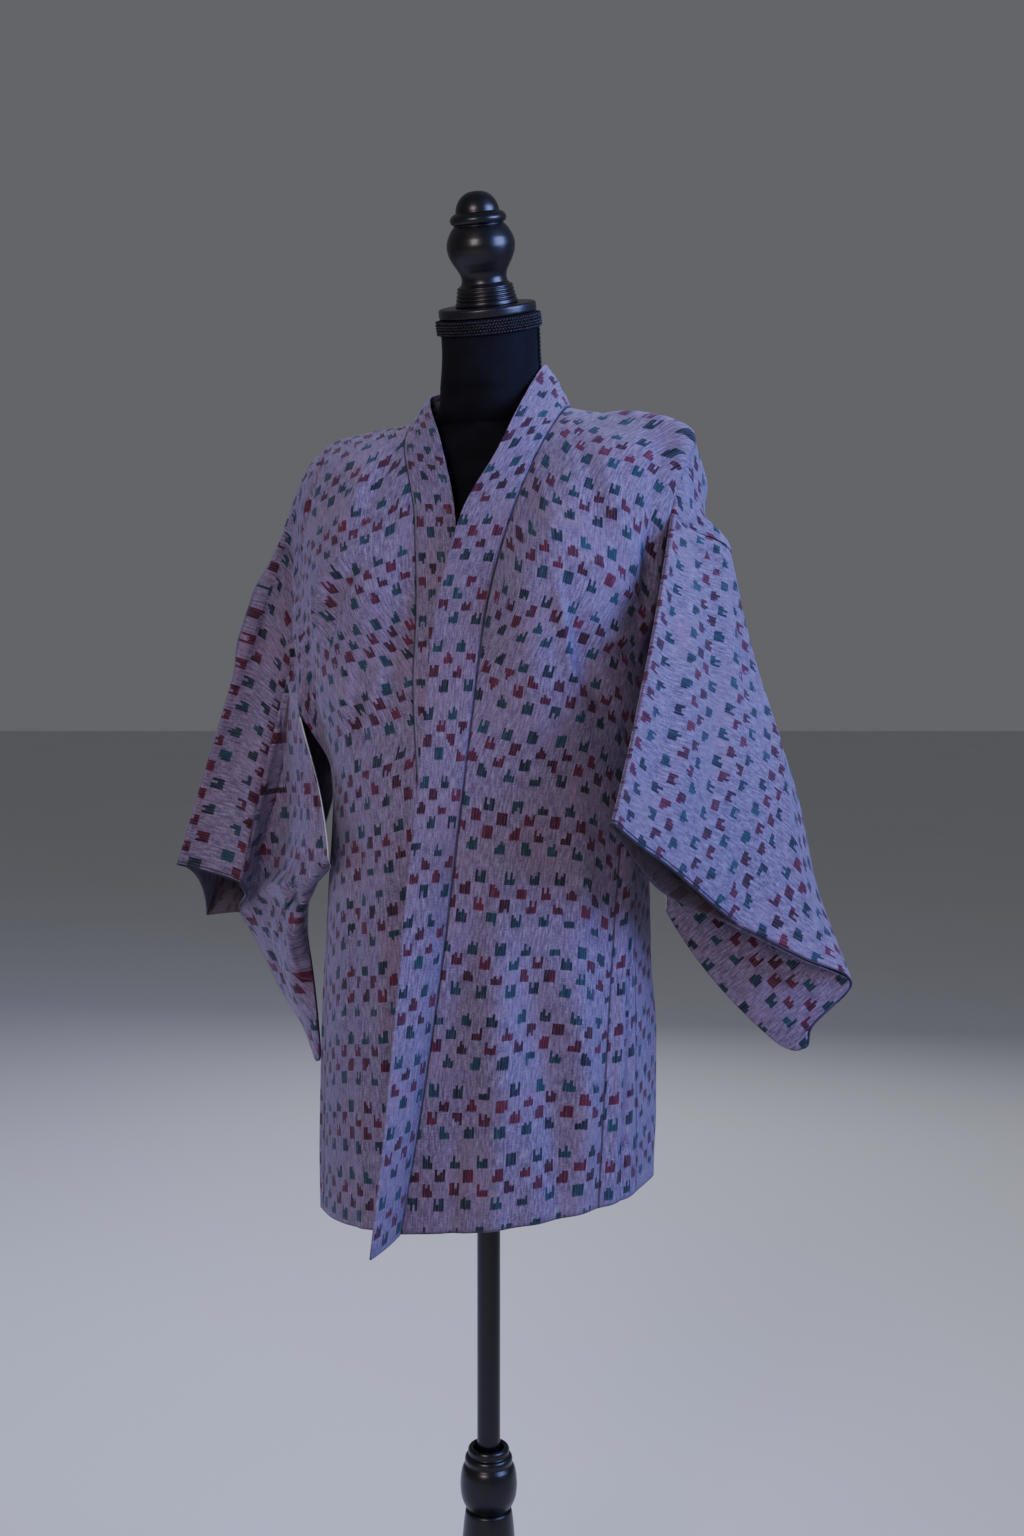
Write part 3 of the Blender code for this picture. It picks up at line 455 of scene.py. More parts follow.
def squared(vectors, axis):
    """Unit vectors along `vectors`, made square to the unit vectors `axis`."""
    return unit(vectors - axis * (vectors * axis).sum(axis=1, keepdims=True))


# ---------------- body panels
TRUNK_SPREAD = (0.0, 0.30, 0.60, 0.82, 1.0)
ACROSS_STATIONS = (0.0, 0.28, 0.60, 0.80, 1.0)
PANEL_ACROSS = np.linspace(0, 1, 10)


class Panel:
    """Front and back of one side, cut as one length of cloth over the shoulder."""

    def __init__(self, side, hang, yoke, sleeve, lap):
        self.side = side
        self.sleeve = sleeve
        self.yoke = yoke
        front = [self.trunk_row(row, row.band_seam, row.front_side, lap) for row in hang]
        back = [self.trunk_row(row, 90.0, row.back_side, 0.0) for row in reversed(hang)]
        edge = sleeve.column("armhole", np.array([row.drop for row in yoke]))
        upper = [
            np.array((row.inner, row.mid, row.tip, row.corner, tuple(armhole)))
            for row, armhole in zip(yoke, edge)
        ]
        self.rows = np.array(front + upper + back)
        self.neck_row = len(front) + [row.drop for row in yoke].index(BACK_NECK_DROP)
        self.rows[self.neck_row :, 0, 0] = SEAM_GAP / 2
        lengths = np.linalg.norm(np.diff(self.rows[:, 1], axis=0), axis=1)
        self.along = np.concatenate(([0], np.cumsum(lengths)))
        self.front_rows = len(front)
        self.armhole_along = self.along[len(front) : len(front) + len(yoke)]

    def trunk_row(self, row, inner, outer, lap):
        """Five points across the panel, evenly by angle round the oval."""
        points = []
        for share in TRUNK_SPREAD:
            angle = inner + (outer - inner) * share
            height = row.height
            if height is None:
                x = OVALS[0].half_width * math.cos(math.radians(angle))
                height = HEM_HEIGHT + HEM_RISE_TO_LEFT * x * self.side
            point = oval_point(height, angle)
            point[1] += lap * (1 - share) ** 0.5
            points.append(point)
        return points

    def armhole_stations(self):
        """Places along the panel that match the rows of the sleeve's armhole."""
        drops = mirrored(half_armhole_drops())
        return np.interp(drops, [row.drop for row in self.yoke], self.armhole_along)

    def stations(self, per_span=3):
        """Places along the panel of all its rows, from the front hem to the back hem."""
        front = self.along[: self.front_rows + 1]
        back = self.along[-self.front_rows - 1 :]
        pieces = [np.linspace(a, b, per_span, endpoint=False) for a, b in zip(front, front[1:])]
        pieces.append(self.armhole_stations())
        pieces += [np.linspace(a, b, per_span + 1)[1:] for a, b in zip(back, back[1:])]
        return np.concatenate(pieces)

    def surface(self, across, along):
        """Points of the panel, smooth along the cloth and then across it."""
        columns = [
            smooth_curve(self.along, self.rows[:, k], along) for k in range(len(ACROSS_STATIONS))
        ]
        first, last = self.armhole_along[0], self.armhole_along[-1]
        at_armhole = (along >= first - 1e-9) & (along <= last + 1e-9)
        drops = np.interp(along, self.armhole_along, [row.drop for row in self.yoke])
        columns[-1][at_armhole] = self.sleeve.column("armhole", drops[at_armhole])
        rows = np.array(columns)
        start_slope = (rows[1] - rows[0]) / ACROSS_STATIONS[1]
        centre_back = along > self.along[self.neck_row - 1]
        start_slope[centre_back, 1:] = 0.0
        flat = rows.reshape(len(ACROSS_STATIONS), -1)
        grid = smooth_curve(ACROSS_STATIONS, flat, across, start_slope.reshape(-1))
        return grid.reshape(len(across), len(along), 3).transpose(1, 0, 2)


# ---------------- finer grids of the same cloth
COARSE_COLUMNS = 8


def refine(values, parts):
    """Each step between neighbouring values, cut into `parts` equal ones."""
    values = np.asarray(values, float)
    shares = np.arange(parts) / parts
    steps = np.diff(values)[:, None] * shares + values[:-1, None]
    return np.append(steps.reshape(-1), values[-1])


def sleeve_grid(sleeve, panel, parts, columns):
    """The sleeve's points: parabolas across the width, their first eighth let into the armhole.

    The gap at the armhole grows with the turn between body panel and sleeve, and the edge
    steps a little to the side that the sleeve hangs on; both fade out over the first eighth.
    """
    drops = refine(sleeve_drops(), parts)
    reach = corner_fraction(drops)[:, None]
    shares = np.linspace(0, 1, columns)
    grid = sleeve.surface(reach * shares, drops)
    edge = grid[:, 0].copy()
    near = sleeve.surface(reach / COARSE_COLUMNS, drops)[:, 0]
    runs = unit(np.gradient(edge, drops, axis=0))
    away = squared(near - edge, runs)
    sewn = np.abs(drops) <= ARMHOLE_DEPTH + 1e-9
    stations = refine(panel.armhole_stations(), parts)
    panel_end = panel.surface(PANEL_ACROSS[-2:], stations)
    arrives = away.copy()
    arrives[sewn] = squared(panel_end[:, 1] - panel_end[:, 0], runs[sewn])
    cosine = np.clip((arrives * away).sum(axis=1), -0.8, 1)
    sine = np.sqrt(1 - cosine**2)
    lean = np.where(cosine > 0, sine, (1 - cosine) / np.maximum(sine, 0.1))
    shift = away * (ARMHOLE_GAP + CLOTH_WALL / 2 * lean)[:, None]
    outward = unit(np.cross(arrives, runs))
    outward *= (outward * away).sum(axis=1)[:, None]
    share = np.interp(np.abs(drops), STEP_DROPS, (0.0, 1.0, 1.0, 0.0))
    shift += outward * (SEAM_STEP * share)[:, None]
    fade = np.clip(1 - COARSE_COLUMNS * shares, 0, 1)
    return grid + shift[:, None] * fade[None, :, None], drops, reach * shares * SLEEVE_WIDTH


def panel_grid(panel, parts, across_parts):
    """The panel's points, rows along the cloth and columns across it, finer than the CAD."""
    return panel.surface(refine(PANEL_ACROSS, across_parts), refine(panel.stations(), parts))


def gusset_grid(panel, parts, columns):
    """Straight lines from the front's side edge to the back's, swelling a little outwards."""
    rows = 3 * (panel.front_rows - 1) * parts + 1
    edges = panel.surface(np.array((1.0,)), refine(panel.stations(), parts))[:, 0]
    front = edges[:rows]
    back = edges[::-1][:rows]
    width = np.linalg.norm(back - front, axis=1)[:, None]
    inset = SEAM_GAP / width
    share = inset + (1 - 2 * inset) * np.linspace(0, 1, columns)[None, :]
    swell = GUSSET_SWELL * width * 4 * share * (1 - share)
    share = share[..., None]
    outward = np.array((1.0, 0.0, 0.0))
    return front[:, None] * (1 - share) + back[:, None] * share + swell[..., None] * outward


def band_half(panel, edge, parts, columns):
    """The collar band from one hem to the centre back, straight from its seam to its edge."""
    rows = panel.neck_row + 1
    stations = refine(panel.stations(), parts)
    stations = stations[stations <= panel.along[rows - 1] + 1e-9]
    inner = panel.surface(np.array((0.0, 0.02)), stations)
    seam = inner[:, 0]
    free = smooth_curve(panel.along[:rows], np.array(edge), stations)
    toward_free = unit(free - seam)
    past_edge = unit(seam - inner[:, 1])
    cosine = np.clip((toward_free * past_edge).sum(axis=1), 0, 1)
    gap = SEAM_GAP + CLOTH_WALL / 2 * np.sqrt(1 - cosine**2)
    start = seam + toward_free * gap[:, None]
    share = np.linspace(0, 1, columns)[None, :, None]
    return start[:, None] * (1 - share) + free[:, None] * share


def facing(grid, side):
    """The grid as it lies in the world: the right side is mirrored in x."""
    return grid * np.array((side, 1.0, 1.0))


def band_grid(left_panel, right_panel, parts, columns):
    """The whole band, from the left hem round the neck to the right hem."""
    left = facing(band_half(left_panel, BAND_EDGE_LEFT, parts, columns), 1)
    right = facing(band_half(right_panel, BAND_EDGE_RIGHT, parts, columns), -1)
    middle = (left[-1:] + right[-1:]) / 2
    return np.concatenate((left[:-1], middle, right[-2::-1]))


def grid_normals(grid):
    """Unit normals of a grid: the cross product of its slopes down the rows and across them."""
    return unit(np.cross(np.gradient(grid, axis=0), np.gradient(grid, axis=1)))


def lengths_along(grid, axis):
    """Distance travelled along one direction of the grid from its first line of points."""
    steps = np.linalg.norm(np.diff(grid, axis=axis), axis=2)
    first = np.zeros_like(np.take(steps, [0], axis=axis))
    return np.concatenate((first, np.cumsum(steps, axis=axis)), axis=axis)


def panel_cut(grid):
    """Flat places on the panel: inwards from the side edge, and along from the front hem."""
    across = lengths_along(grid, 1)
    inward = across[:, -1:] - across
    along = lengths_along(grid, 0)
    length = along[-1].mean()
    return np.stack((inward, along / along[-1] * length), axis=2)


# ---------------- folds pressed into the cloth
# A fold runs along `path`, flat places in metres.  A positive depth stands out and a negative
# one sinks in; `width` is half its breadth, and `steep` narrows its second side.
Fold = namedtuple("Fold", "path width depth steep", defaults=(1.0,))
# What is left of a fold's depth at its two ends.
END_SHARE = 0.12


def fold_height(cut, fold):
    """A bell across the path, fading out over the last third at each end of it."""
    path = np.array(fold.path)
    spans = np.diff(path, axis=0)
    lengths = np.linalg.norm(spans, axis=1)
    travelled = np.concatenate(([0], np.cumsum(lengths)))
    nearest = np.full(cut.shape[:2], np.inf)
    place = np.zeros(cut.shape[:2])
    side = np.ones(cut.shape[:2])
    for start, span, length, before in zip(path, spans, lengths, travelled):
        from_start = cut - start
        share = np.clip((from_start @ span) / length**2, 0, 1)
        apart = from_start - share[..., None] * span
        distance = np.linalg.norm(apart, axis=2)
        closer = distance < nearest
        nearest = np.where(closer, distance, nearest)
        place = np.where(closer, before + share * length, place)
        across = span[0] * apart[..., 1] - span[1] * apart[..., 0]
        side = np.where(closer, np.sign(across), side)
    width = np.where(side > 0, fold.width, fold.width / fold.steep)
    ends = np.minimum(place, travelled[-1] - place) / (travelled[-1] / 3)
    fade = np.clip(ends, 0, 1) ** 2 * (3 - 2 * np.clip(ends, 0, 1))
    return fold.depth * np.exp(-((nearest / width) ** 2)) * (END_SHARE + (1 - END_SHARE) * fade)


def pressed(grid, cut, folds, outward, hold, room=None):
    """The grid with its folds, moved along its own outward normals.

    `hold` scales the height at sewn edges, and `room` is how far a fold may sink inwards.
    """
    height = np.zeros(cut.shape[:2])
    for fold in folds:
        height += fold_height(cut, fold)
    height *= hold
    if room is not None:
        height = np.maximum(height, -room)
    return grid + grid_normals(grid) * (outward * height)[..., None]


# Flat places: across inwards from the side edge, and along from the front hem, over the
# shoulder near 0.84, to the back hem.
FOLDS_BODY_LEFT = (
    # the front: drag from shoulder and underarm, the hollow beside it, and the hem's waves
    Fold(((0.19, 0.834), (0.14, 0.838), (0.1, 0.832), (0.07, 0.812)), 0.016, 0.009),
    Fold(((0.112, 0.834), (0.088, 0.826), (0.062, 0.8), (0.035, 0.776)), 0.008, 0.007, 1.5),
    Fold(((0.133, 0.777), (0.107, 0.739), (0.08, 0.688),
          (0.058, 0.658), (0.014, 0.634)), 0.011, 0.0028, 1.5),
    Fold(((0.032, 0.8), (0.032, 0.73), (0.028, 0.68), (0.024, 0.59)), 0.014, 0.0105),
    Fold(((0.108, 0.816), (0.076, 0.788), (0.056, 0.748), (0.046, 0.7), (0.042, 0.64)), 0.01, -0.0055),
    Fold(((0.014, 0.815), (0.017, 0.86), (0.02, 0.9), (0.018, 0.96)), 0.014, 0.01),
    Fold(((0.164, 0.78), (0.127, 0.742), (0.11, 0.69), (0.104, 0.65)), 0.011, -0.003),
    Fold(((0.152, 0.628), (0.141, 0.604), (0.12, 0.572),
          (0.105, 0.541), (0.082, 0.509)), 0.0075, 0.0065, 2.0),
    Fold(((0.132, 0.608), (0.101, 0.566), (0.066, 0.514), (0.039, 0.48)), 0.015, -0.007),
    Fold(((0.151, 0.634), (0.12, 0.645), (0.084, 0.638), (0.016, 0.634)), 0.008, 0.0045, 1.3),
    Fold(((0.081, 0.56), (0.051, 0.57), (0.015, 0.589)), 0.005, -0.0045),
    Fold(((0.083, 0.571), (0.051, 0.588), (0.011, 0.614)), 0.007, 0.0032),
    Fold(((0.065, 0.509), (0.033, 0.507), (0.002, 0.515)), 0.005, -0.0032),
    Fold(((0.179, 0.715), (0.154, 0.675), (0.152, 0.628)), 0.014, 0.0025),
    Fold(((0.13, 0.29), (0.118, 0.233), (0.115, 0.167), (0.103, 0.06)), 0.021, 0.0095, 1.2),
    Fold(((0.16, 0.35), (0.147, 0.297), (0.16, 0.224), (0.164, 0.13)), 0.014, -0.0045),
    Fold(((0.1, 0.3), (0.086, 0.215), (0.066, 0.15), (0.056, 0.095), (0.052, -0.02)), 0.022, -0.0125),
    Fold(((0.091, 0.116), (0.071, 0.076), (0.06, -0.04)), 0.015, 0.0045),
    Fold(((0.054, 0.29), (0.036, 0.2), (0.024, 0.12), (0.022, -0.04)), 0.016, 0.0085),
    Fold(((0.115, 0.404), (0.09, 0.349), (0.069, 0.292)), 0.018, -0.0035),
    Fold(((0.068, 0.43), (0.047, 0.348), (0.033, 0.25)), 0.014, 0.0035),
    Fold(((0.149, 0.11), (0.15, 0.033), (0.151, -0.04)), 0.01, -0.0035),
    Fold(((0.11, 0.11), (0.108, 0.026), (0.11, -0.04)), 0.012, 0.0035),
    # the back
    Fold(((0.02, 1.01), (0.075, 1.055), (0.14, 1.13)), 0.009, -0.0035),
    Fold(((0.045, 1.06), (0.028, 1.16), (0.04, 1.27)), 0.012, 0.005, 1.4),
    Fold(((0.1, 1.04), (0.118, 1.18), (0.1, 1.37)), 0.016, -0.0045),
    Fold(((0.17, 1.11), (0.182, 1.3), (0.158, 1.52)), 0.018, 0.005),
    Fold(((0.262, 1.22), (0.27, 1.4), (0.252, 1.6)), 0.016, -0.0035),
    Fold(((0.092, 1.42), (0.08, 1.52), (0.1, 1.7)), 0.02, 0.0065),
    Fold(((0.145, 1.48), (0.15, 1.57), (0.14, 1.7)), 0.014, -0.005),
    Fold(((0.215, 0.98), (0.14, 1.005), (0.06, 1.012)), 0.007, 0.003, 1.2),
)
FOLDS_BODY_RIGHT = (
    Fold(((0.215, 0.663), (0.179, 0.659), (0.148, 0.646), (0.116, 0.62), (0.075, 0.594)), 0.008, 0.01, 1.9),
    Fold(((0.224, 0.639), (0.191, 0.641), (0.162, 0.628), (0.123, 0.595), (0.081, 0.557)), 0.009, -0.0085),
    Fold(((0.192, 0.772), (0.182, 0.726), (0.162, 0.678)), 0.009, 0.004),
    Fold(((0.214, 0.79), (0.205, 0.719), (0.188, 0.674)), 0.009, -0.0032),
    Fold(((0.24, 0.74), (0.244, 0.68), (0.218, 0.629)), 0.011, 0.003),
    Fold(((0.233, 0.579), (0.187, 0.546), (0.172, 0.51), (0.142, 0.481)), 0.01, -0.0045),
    Fold(((0.144, 0.532), (0.116, 0.487), (0.107, 0.434)), 0.008, -0.005),
    Fold(((0.139, 0.57), (0.117, 0.521), (0.085, 0.473)), 0.008, 0.0045),
    Fold(((0.18, 0.56), (0.144, 0.503), (0.131, 0.448)), 0.009, 0.0038),
    Fold(((0.116, 0.43), (0.095, 0.315), (0.079, 0.18)), 0.01, -0.0045),
    Fold(((0.155, 0.43), (0.136, 0.282), (0.121, 0.06)), 0.012, 0.0045),
    Fold(((0.102, 0.182), (0.095, 0.105), (0.097, -0.04)), 0.009, 0.0035),
    Fold(((0.182, 0.434), (0.172, 0.347), (0.152, 0.254)), 0.009, -0.0035),
    Fold(((0.032, 0.8), (0.028, 0.72), (0.026, 0.64), (0.032, 0.575)), 0.013, 0.008),
    Fold(((0.116, 0.846), (0.106, 0.79), (0.096, 0.75),
          (0.068, 0.722), (0.026, 0.704)), 0.007, -0.0065, 1.5),
    # the back
    Fold(((0.018, 1.03), (0.06, 1.08), (0.12, 1.14)), 0.008, -0.0035),
    Fold(((0.03, 1.09), (0.045, 1.2), (0.03, 1.33)), 0.013, 0.005, 1.3),
    Fold(((0.12, 1.06), (0.13, 1.23), (0.11, 1.45)), 0.017, -0.0045),
    Fold(((0.19, 1.16), (0.205, 1.38), (0.18, 1.64)), 0.016, 0.005),
    Fold(((0.255, 1.27), (0.262, 1.42), (0.248, 1.56)), 0.014, -0.0032),
    Fold(((0.07, 1.4), (0.085, 1.56), (0.07, 1.76)), 0.02, 0.0065),
    Fold(((0.135, 1.5), (0.125, 1.62), (0.135, 1.76)), 0.014, -0.0045),
    Fold(((0.2, 1.000), (0.13, 1.02), (0.05, 1.034)), 0.008, 0.003, 1.2),
)
# Flat places: across from the armhole, and the drop, negative on the front layer.
FOLDS_SLEEVE_LEFT = (
    # the back layer: the long drag, its hollow, and the puckers at the underarm
    Fold(((0.02, 0.03), (0.041, 0.034), (0.156, 0.049), (0.246, 0.066), (0.336, 0.087)), 0.014, 0.0065),
    Fold(((0.03, 0.06), (0.147, 0.088), (0.233, 0.112), (0.32, 0.14)), 0.015, -0.0065),
    Fold(((0.002, 0.02), (0.018, 0.04), (0.04, 0.058)), 0.004, -0.003),
    Fold(((0.002, 0.036), (0.02, 0.056), (0.044, 0.072)), 0.004, 0.003),
    Fold(((0.002, 0.052), (0.022, 0.07), (0.05, 0.086)), 0.004, -0.003),
    Fold(((0.002, 0.07), (0.022, 0.086), (0.046, 0.098)), 0.004, 0.0026),
    Fold(((0.008, 0.108), (0.119, 0.178), (0.246, 0.238)), 0.016, 0.005, 1.2),
    Fold(((0.016, 0.091), (0.09, 0.128), (0.172, 0.149)), 0.01, -0.004),
    Fold(((0.291, 0.024), (0.274, 0.041), (0.258, 0.053)), 0.009, -0.0035),
    Fold(((0.328, 0.166), (0.32, 0.199), (0.328, 0.238)), 0.006, 0.0025, 1.5),
    Fold(((0.2, 0.004), (0.242, 0.024), (0.266, 0.045)), 0.01, 0.003),
    Fold(((0.25, 0.15), (0.311, 0.199), (0.332, 0.28)), 0.013, -0.0035),
    Fold(((0.19, 0.2), (0.262, 0.26), (0.32, 0.32)), 0.012, 0.0035),
    Fold(((0.06, 0.22), (0.1, 0.32), (0.18, 0.42)), 0.016, -0.004),
    Fold(((0.03, 0.28), (0.05, 0.36), (0.1, 0.45)), 0.013, 0.0035),
    # the front layer
    Fold(((0.02, -0.05), (0.13, -0.09), (0.26, -0.12)), 0.013, 0.0045, 1.2),
    Fold(((0.03, -0.11), (0.14, -0.16), (0.23, -0.21)), 0.014, -0.0045),
    Fold(((0.05, -0.23), (0.12, -0.31), (0.15, -0.43)), 0.014, 0.0045),
    Fold(((0.2, -0.24), (0.24, -0.33), (0.25, -0.44)), 0.016, -0.005),
    Fold(((0.3, -0.02), (0.29, -0.11), (0.31, -0.2)), 0.009, 0.003),
    Fold(((0.27, -0.26), (0.3, -0.33), (0.31, -0.4)), 0.01, 0.003),
)
FOLDS_SLEEVE_RIGHT = (
    # the front layer: troughs down the hanging strip and the turned flap
    Fold(((0.012, -0.012), (0.06, -0.02), (0.11, -0.03)), 0.01, 0.0035),
    Fold(((0.012, 0.001), (0.05, 0.000), (0.15, -0.002)), 0.022, 0.009),
    Fold(((0.037, -0.016), (0.111, -0.018), (0.172, -0.022), (0.254, -0.028)), 0.01, -0.0045),
    Fold(((0.008, -0.017), (0.05, -0.037), (0.061, -0.103), (0.02, -0.19)), 0.009, 0.005, 1.4),
    Fold(((0.098, -0.02), (0.156, -0.04), (0.238, -0.052), (0.33, -0.066)), 0.01, 0.0045),
    Fold(((0.01, -0.045), (0.057, -0.06), (0.123, -0.063),
          (0.176, -0.066), (0.25, -0.067), (0.335, -0.07)), 0.0075, -0.011),
    Fold(((0.06, -0.105), (0.15, -0.108), (0.26, -0.112)), 0.014, 0.006),
    Fold(((0.022, -0.399), (0.053, -0.385), (0.13, -0.338),
          (0.213, -0.285), (0.291, -0.238), (0.334, -0.213)), 0.014, 0.013, 2.2),
    Fold(((0.336, -0.238), (0.291, -0.264), (0.205, -0.315),
          (0.135, -0.366), (0.045, -0.42), (-0.06, -0.47)), 0.009, -0.0045),
    Fold(((0.017, -0.03), (0.017, -0.1), (0.015, -0.185)), 0.007, -0.007),
    Fold(((0.049, -0.187), (0.082, -0.23), (0.049, -0.319)), 0.01, 0.0045),
    Fold(((0.12, -0.06), (0.164, -0.153), (0.209, -0.243)), 0.01, -0.0045),
    Fold(((0.016, -0.24), (0.02, -0.331), (0.028, -0.4)), 0.008, -0.003),
    Fold(((0.135, -0.366), (0.147, -0.424), (0.2, -0.466)), 0.009, 0.0035),
    Fold(((0.291, -0.249), (0.31, -0.331), (0.282, -0.44)), 0.01, -0.0035),
    Fold(((0.15, -0.25), (0.19, -0.33), (0.24, -0.4)), 0.012, 0.004),
    # the back layer
    Fold(((0.02, 0.04), (0.12, 0.07), (0.25, 0.11)), 0.013, 0.005, 1.2),
    Fold(((0.03, 0.09), (0.14, 0.14), (0.26, 0.19)), 0.014, -0.005),
    Fold(((0.002, 0.05), (0.022, 0.068), (0.05, 0.08)), 0.0045, -0.003),
    Fold(((0.06, 0.2), (0.11, 0.31), (0.12, 0.43)), 0.015, 0.005),
    Fold(((0.15, 0.21), (0.21, 0.32), (0.2, 0.44)), 0.014, -0.0045),
    Fold(((0.27, 0.23), (0.3, 0.33), (0.29, 0.42)), 0.012, 0.004),
)
# Flat places: across the band, its outer half first, and along from the left hem.
FOLDS_BAND = (
    Fold(((0.003, 0.03), (0.004, 0.2), (0.003, 0.44)), 0.006, -0.0022),
    Fold(((0.006, 0.79), (0.05, 0.812)), 0.006, 0.0028, 1.3),
    Fold(((0.01, 0.772), (0.052, 0.788)), 0.006, -0.0022),
    Fold(((0.03, 0.1), (0.026, 0.28), (0.032, 0.42)), 0.011, 0.0018),
    Fold(((0.022, 1.24), (0.04, 1.3)), 0.007, -0.0018),
    Fold(((0.03, 1.5), (0.026, 1.7), (0.032, 1.9)), 0.011, 0.0018),
)
# Flat places: across from the front panel's edge, and along from the hem.
FOLDS_GUSSET = (
    Fold(((0.028, 0.3), (0.024, 0.215), (0.03, 0.15), (0.028, 0.05), (0.03, -0.04)), 0.0055, -0.0045, 1.5),
    Fold(((0.018, 0.3), (0.014, 0.2), (0.016, 0.08), (0.014, -0.04)), 0.006, 0.003),
    Fold(((0.018, 0.212), (0.036, 0.226)), 0.004, -0.0022),
)


# ---------------- rings of the dress form
def ring_points(ring, turns):
    """The points of one torso ring, a squared ellipse deeper in front or behind."""
    power = 2 / ring.square
    cosine = np.cos(turns)
    sine = np.sin(turns)
    depth = np.where(sine < 0, ring.front, ring.back)
    x = ring.half_width * np.sign(cosine) * np.abs(cosine) ** power
    y = ring.centre + depth * np.sign(sine) * np.abs(sine) ** power
    return np.stack((x, y, np.full_like(x, ring.height)), axis=1)


def neck_axis():
    """The way in which the neck, and all that stands on it, points."""
    return np.array((0.0, -math.sin(NECK_TILT), math.cos(NECK_TILT)))


def neck_ring(share, turns):
    """A round ring of the neck, tilting forward as the neck rises."""
    base = TORSO_RINGS[-1]
    foot = np.array((0.0, base.centre, base.height))
    up = neck_axis()
    top = np.array(NECK_TOP)
    bend = top - up * (top[2] - foot[2]) / 2
    centre = foot * (1 - share) ** 2 + bend * 2 * share * (1 - share) + top * share**2
    radius = base.half_width + (NECK_RADIUS - base.half_width) * min(1.0, share * 2)
    tilt = NECK_TILT * share
    inward = np.array((0.0, math.cos(tilt), math.sin(tilt)))
    sideways = np.array((1.0, 0.0, 0.0))
    return centre + radius * (
        np.cos(turns)[:, None] * sideways + np.sin(turns)[:, None] * inward
    )


# ---------------- shader maths
class Value:
    """A number in the shader; Python's operators add the Math nodes that work it out."""

    def __init__(self, shader, socket):
        self.shader = shader
        self.socket = socket

    def math(self, operation, *others, clamp=False):
        values = dict(enumerate((self, *others)))
        settings = {"operation": operation, "use_clamp": clamp}
        return self.shader.node("ShaderNodeMath", settings, values).out(0)

    def __add__(self, other):
        return self.math("ADD", other)

    __radd__ = __add__

    def __mul__(self, other):
        return self.math("MULTIPLY", other)

    __rmul__ = __mul__

    def __sub__(self, other):
        return self.math("SUBTRACT", other)

    def __rsub__(self, other):
        return self.math("MULTIPLY_ADD", -1.0, other)

    def __truediv__(self, other):
        return self.math("DIVIDE", other)

    def __gt__(self, other):
        return self.math("GREATER_THAN", other)

    def __lt__(self, other):
        return self.math("LESS_THAN", other)

    def __abs__(self):
        return self.math("ABSOLUTE")

    def floor(self):
        return self.math("FLOOR")

    def part(self):
        return self.math("FRACT")

    def sine(self):
        return self.math("SINE")

    def clipped(self):
        return self.math("ADD", 0.0, clamp=True)


class Added:
    """A node that the shader added, read by its outputs."""

    def __init__(self, shader, made):
        self.shader = shader
        self.made = made

    def out(self, which):
        return Value(self.shader, self.made.outputs[which])


class Shader:
    """A new material: `node` adds any node, and the rest are short names for common ones."""

    def __init__(self, name):
        self.material = bpy.data.materials.new(name)
        self.material.use_nodes = True
        self.tree = self.material.node_tree
        self.surface = self.tree.nodes["Principled BSDF"]

    def join(self, socket, value):
        if isinstance(value, Value):
            self.tree.links.new(value.socket, socket)
        elif hasattr(value, "__len__") and len(value) == 3 and len(socket.default_value) == 4:
            socket.default_value = (*value, 1.0)
        else:
            socket.default_value = value

    def node(self, kind, settings=None, values=None):
        """Any node: its settings first, then the values or links of its sockets."""
        made = self.tree.nodes.new(kind)
        for name, setting in (settings or {}).items():
            setattr(made, name, setting)
        for name, value in (values or {}).items():
            self.join(made.inputs[name], value)
        return Added(self, made)

    def mix(self, factor, first, second):
        """Colours mixed by a number."""
        settings = {"data_type": "RGBA", "blend_type": "MIX", "clamp_factor": True}
        return self.node("ShaderNodeMix", settings, {0: factor, 6: first, 7: second}).out(2)

    def place(self, x, y, z=0.0):
        return self.node("ShaderNodeCombineXYZ", None, {0: x, 1: y, 2: z}).out(0)

    def noise(self, place, scale, detail=2.0, roughness=0.5):
        values = {"Vector": place, "Scale": scale, "Detail": detail, "Roughness": roughness}
        return self.node("ShaderNodeTexNoise", None, values).out(0)

    def chance(self, place):
        """Three random numbers for each place, as separate values."""
        made = self.node("ShaderNodeTexWhiteNoise", None, {"Vector": place}).out(1)
        split = self.node("ShaderNodeSeparateColor", None, {0: made})
        return split.out(0), split.out(1), split.out(2)

    def on_cloth(self, layer):
        """The flat place on a cloth piece, in metres."""
        made = self.node("ShaderNodeUVMap", {"uv_map": layer}).out(0)
        split = self.node("ShaderNodeSeparateXYZ", None, {0: made})
        return split.out(0), split.out(1)

    def in_space(self):
        return self.node("ShaderNodeTexCoord").out(3)

    def bump(self, height, strength, distance):
        values = {"Height": height, "Strength": strength, "Distance": distance}
        return self.node("ShaderNodeBump", None, values).out(0)

    def finish(self, inputs):
        for name, value in inputs.items():
            self.join(self.surface.inputs[name], value)
        return self.material


# ---------------- finishes
# The woven squares stand in four rows, two of the green family outside two of the red one,
# then a bare stretch.  Each row is half a pitch out of step with the one before it.
# These are in millimetres.
ROW_REPEAT = 66.0
ROW_CENTRES = (11.6, 24.4, 37.8, 50.0)
PITCH = 27.0
SQUARE = 10.4
LONG_SIDE = 12.2
BARS = 4
# The range in which rows and columns stray, and each square by itself, across and along.
STRAY = 5.0
SQUARE_SHIFT = (2.6, 2.4)
# In metres: a thread, the pitch of the warp, and the reach of the darker line at a hem and of the painted
# shade at a seam.
THREAD = 0.0004
WARP = 0.00075
HEM_LINE = 0.0021
SEAM_LINE = 0.0016


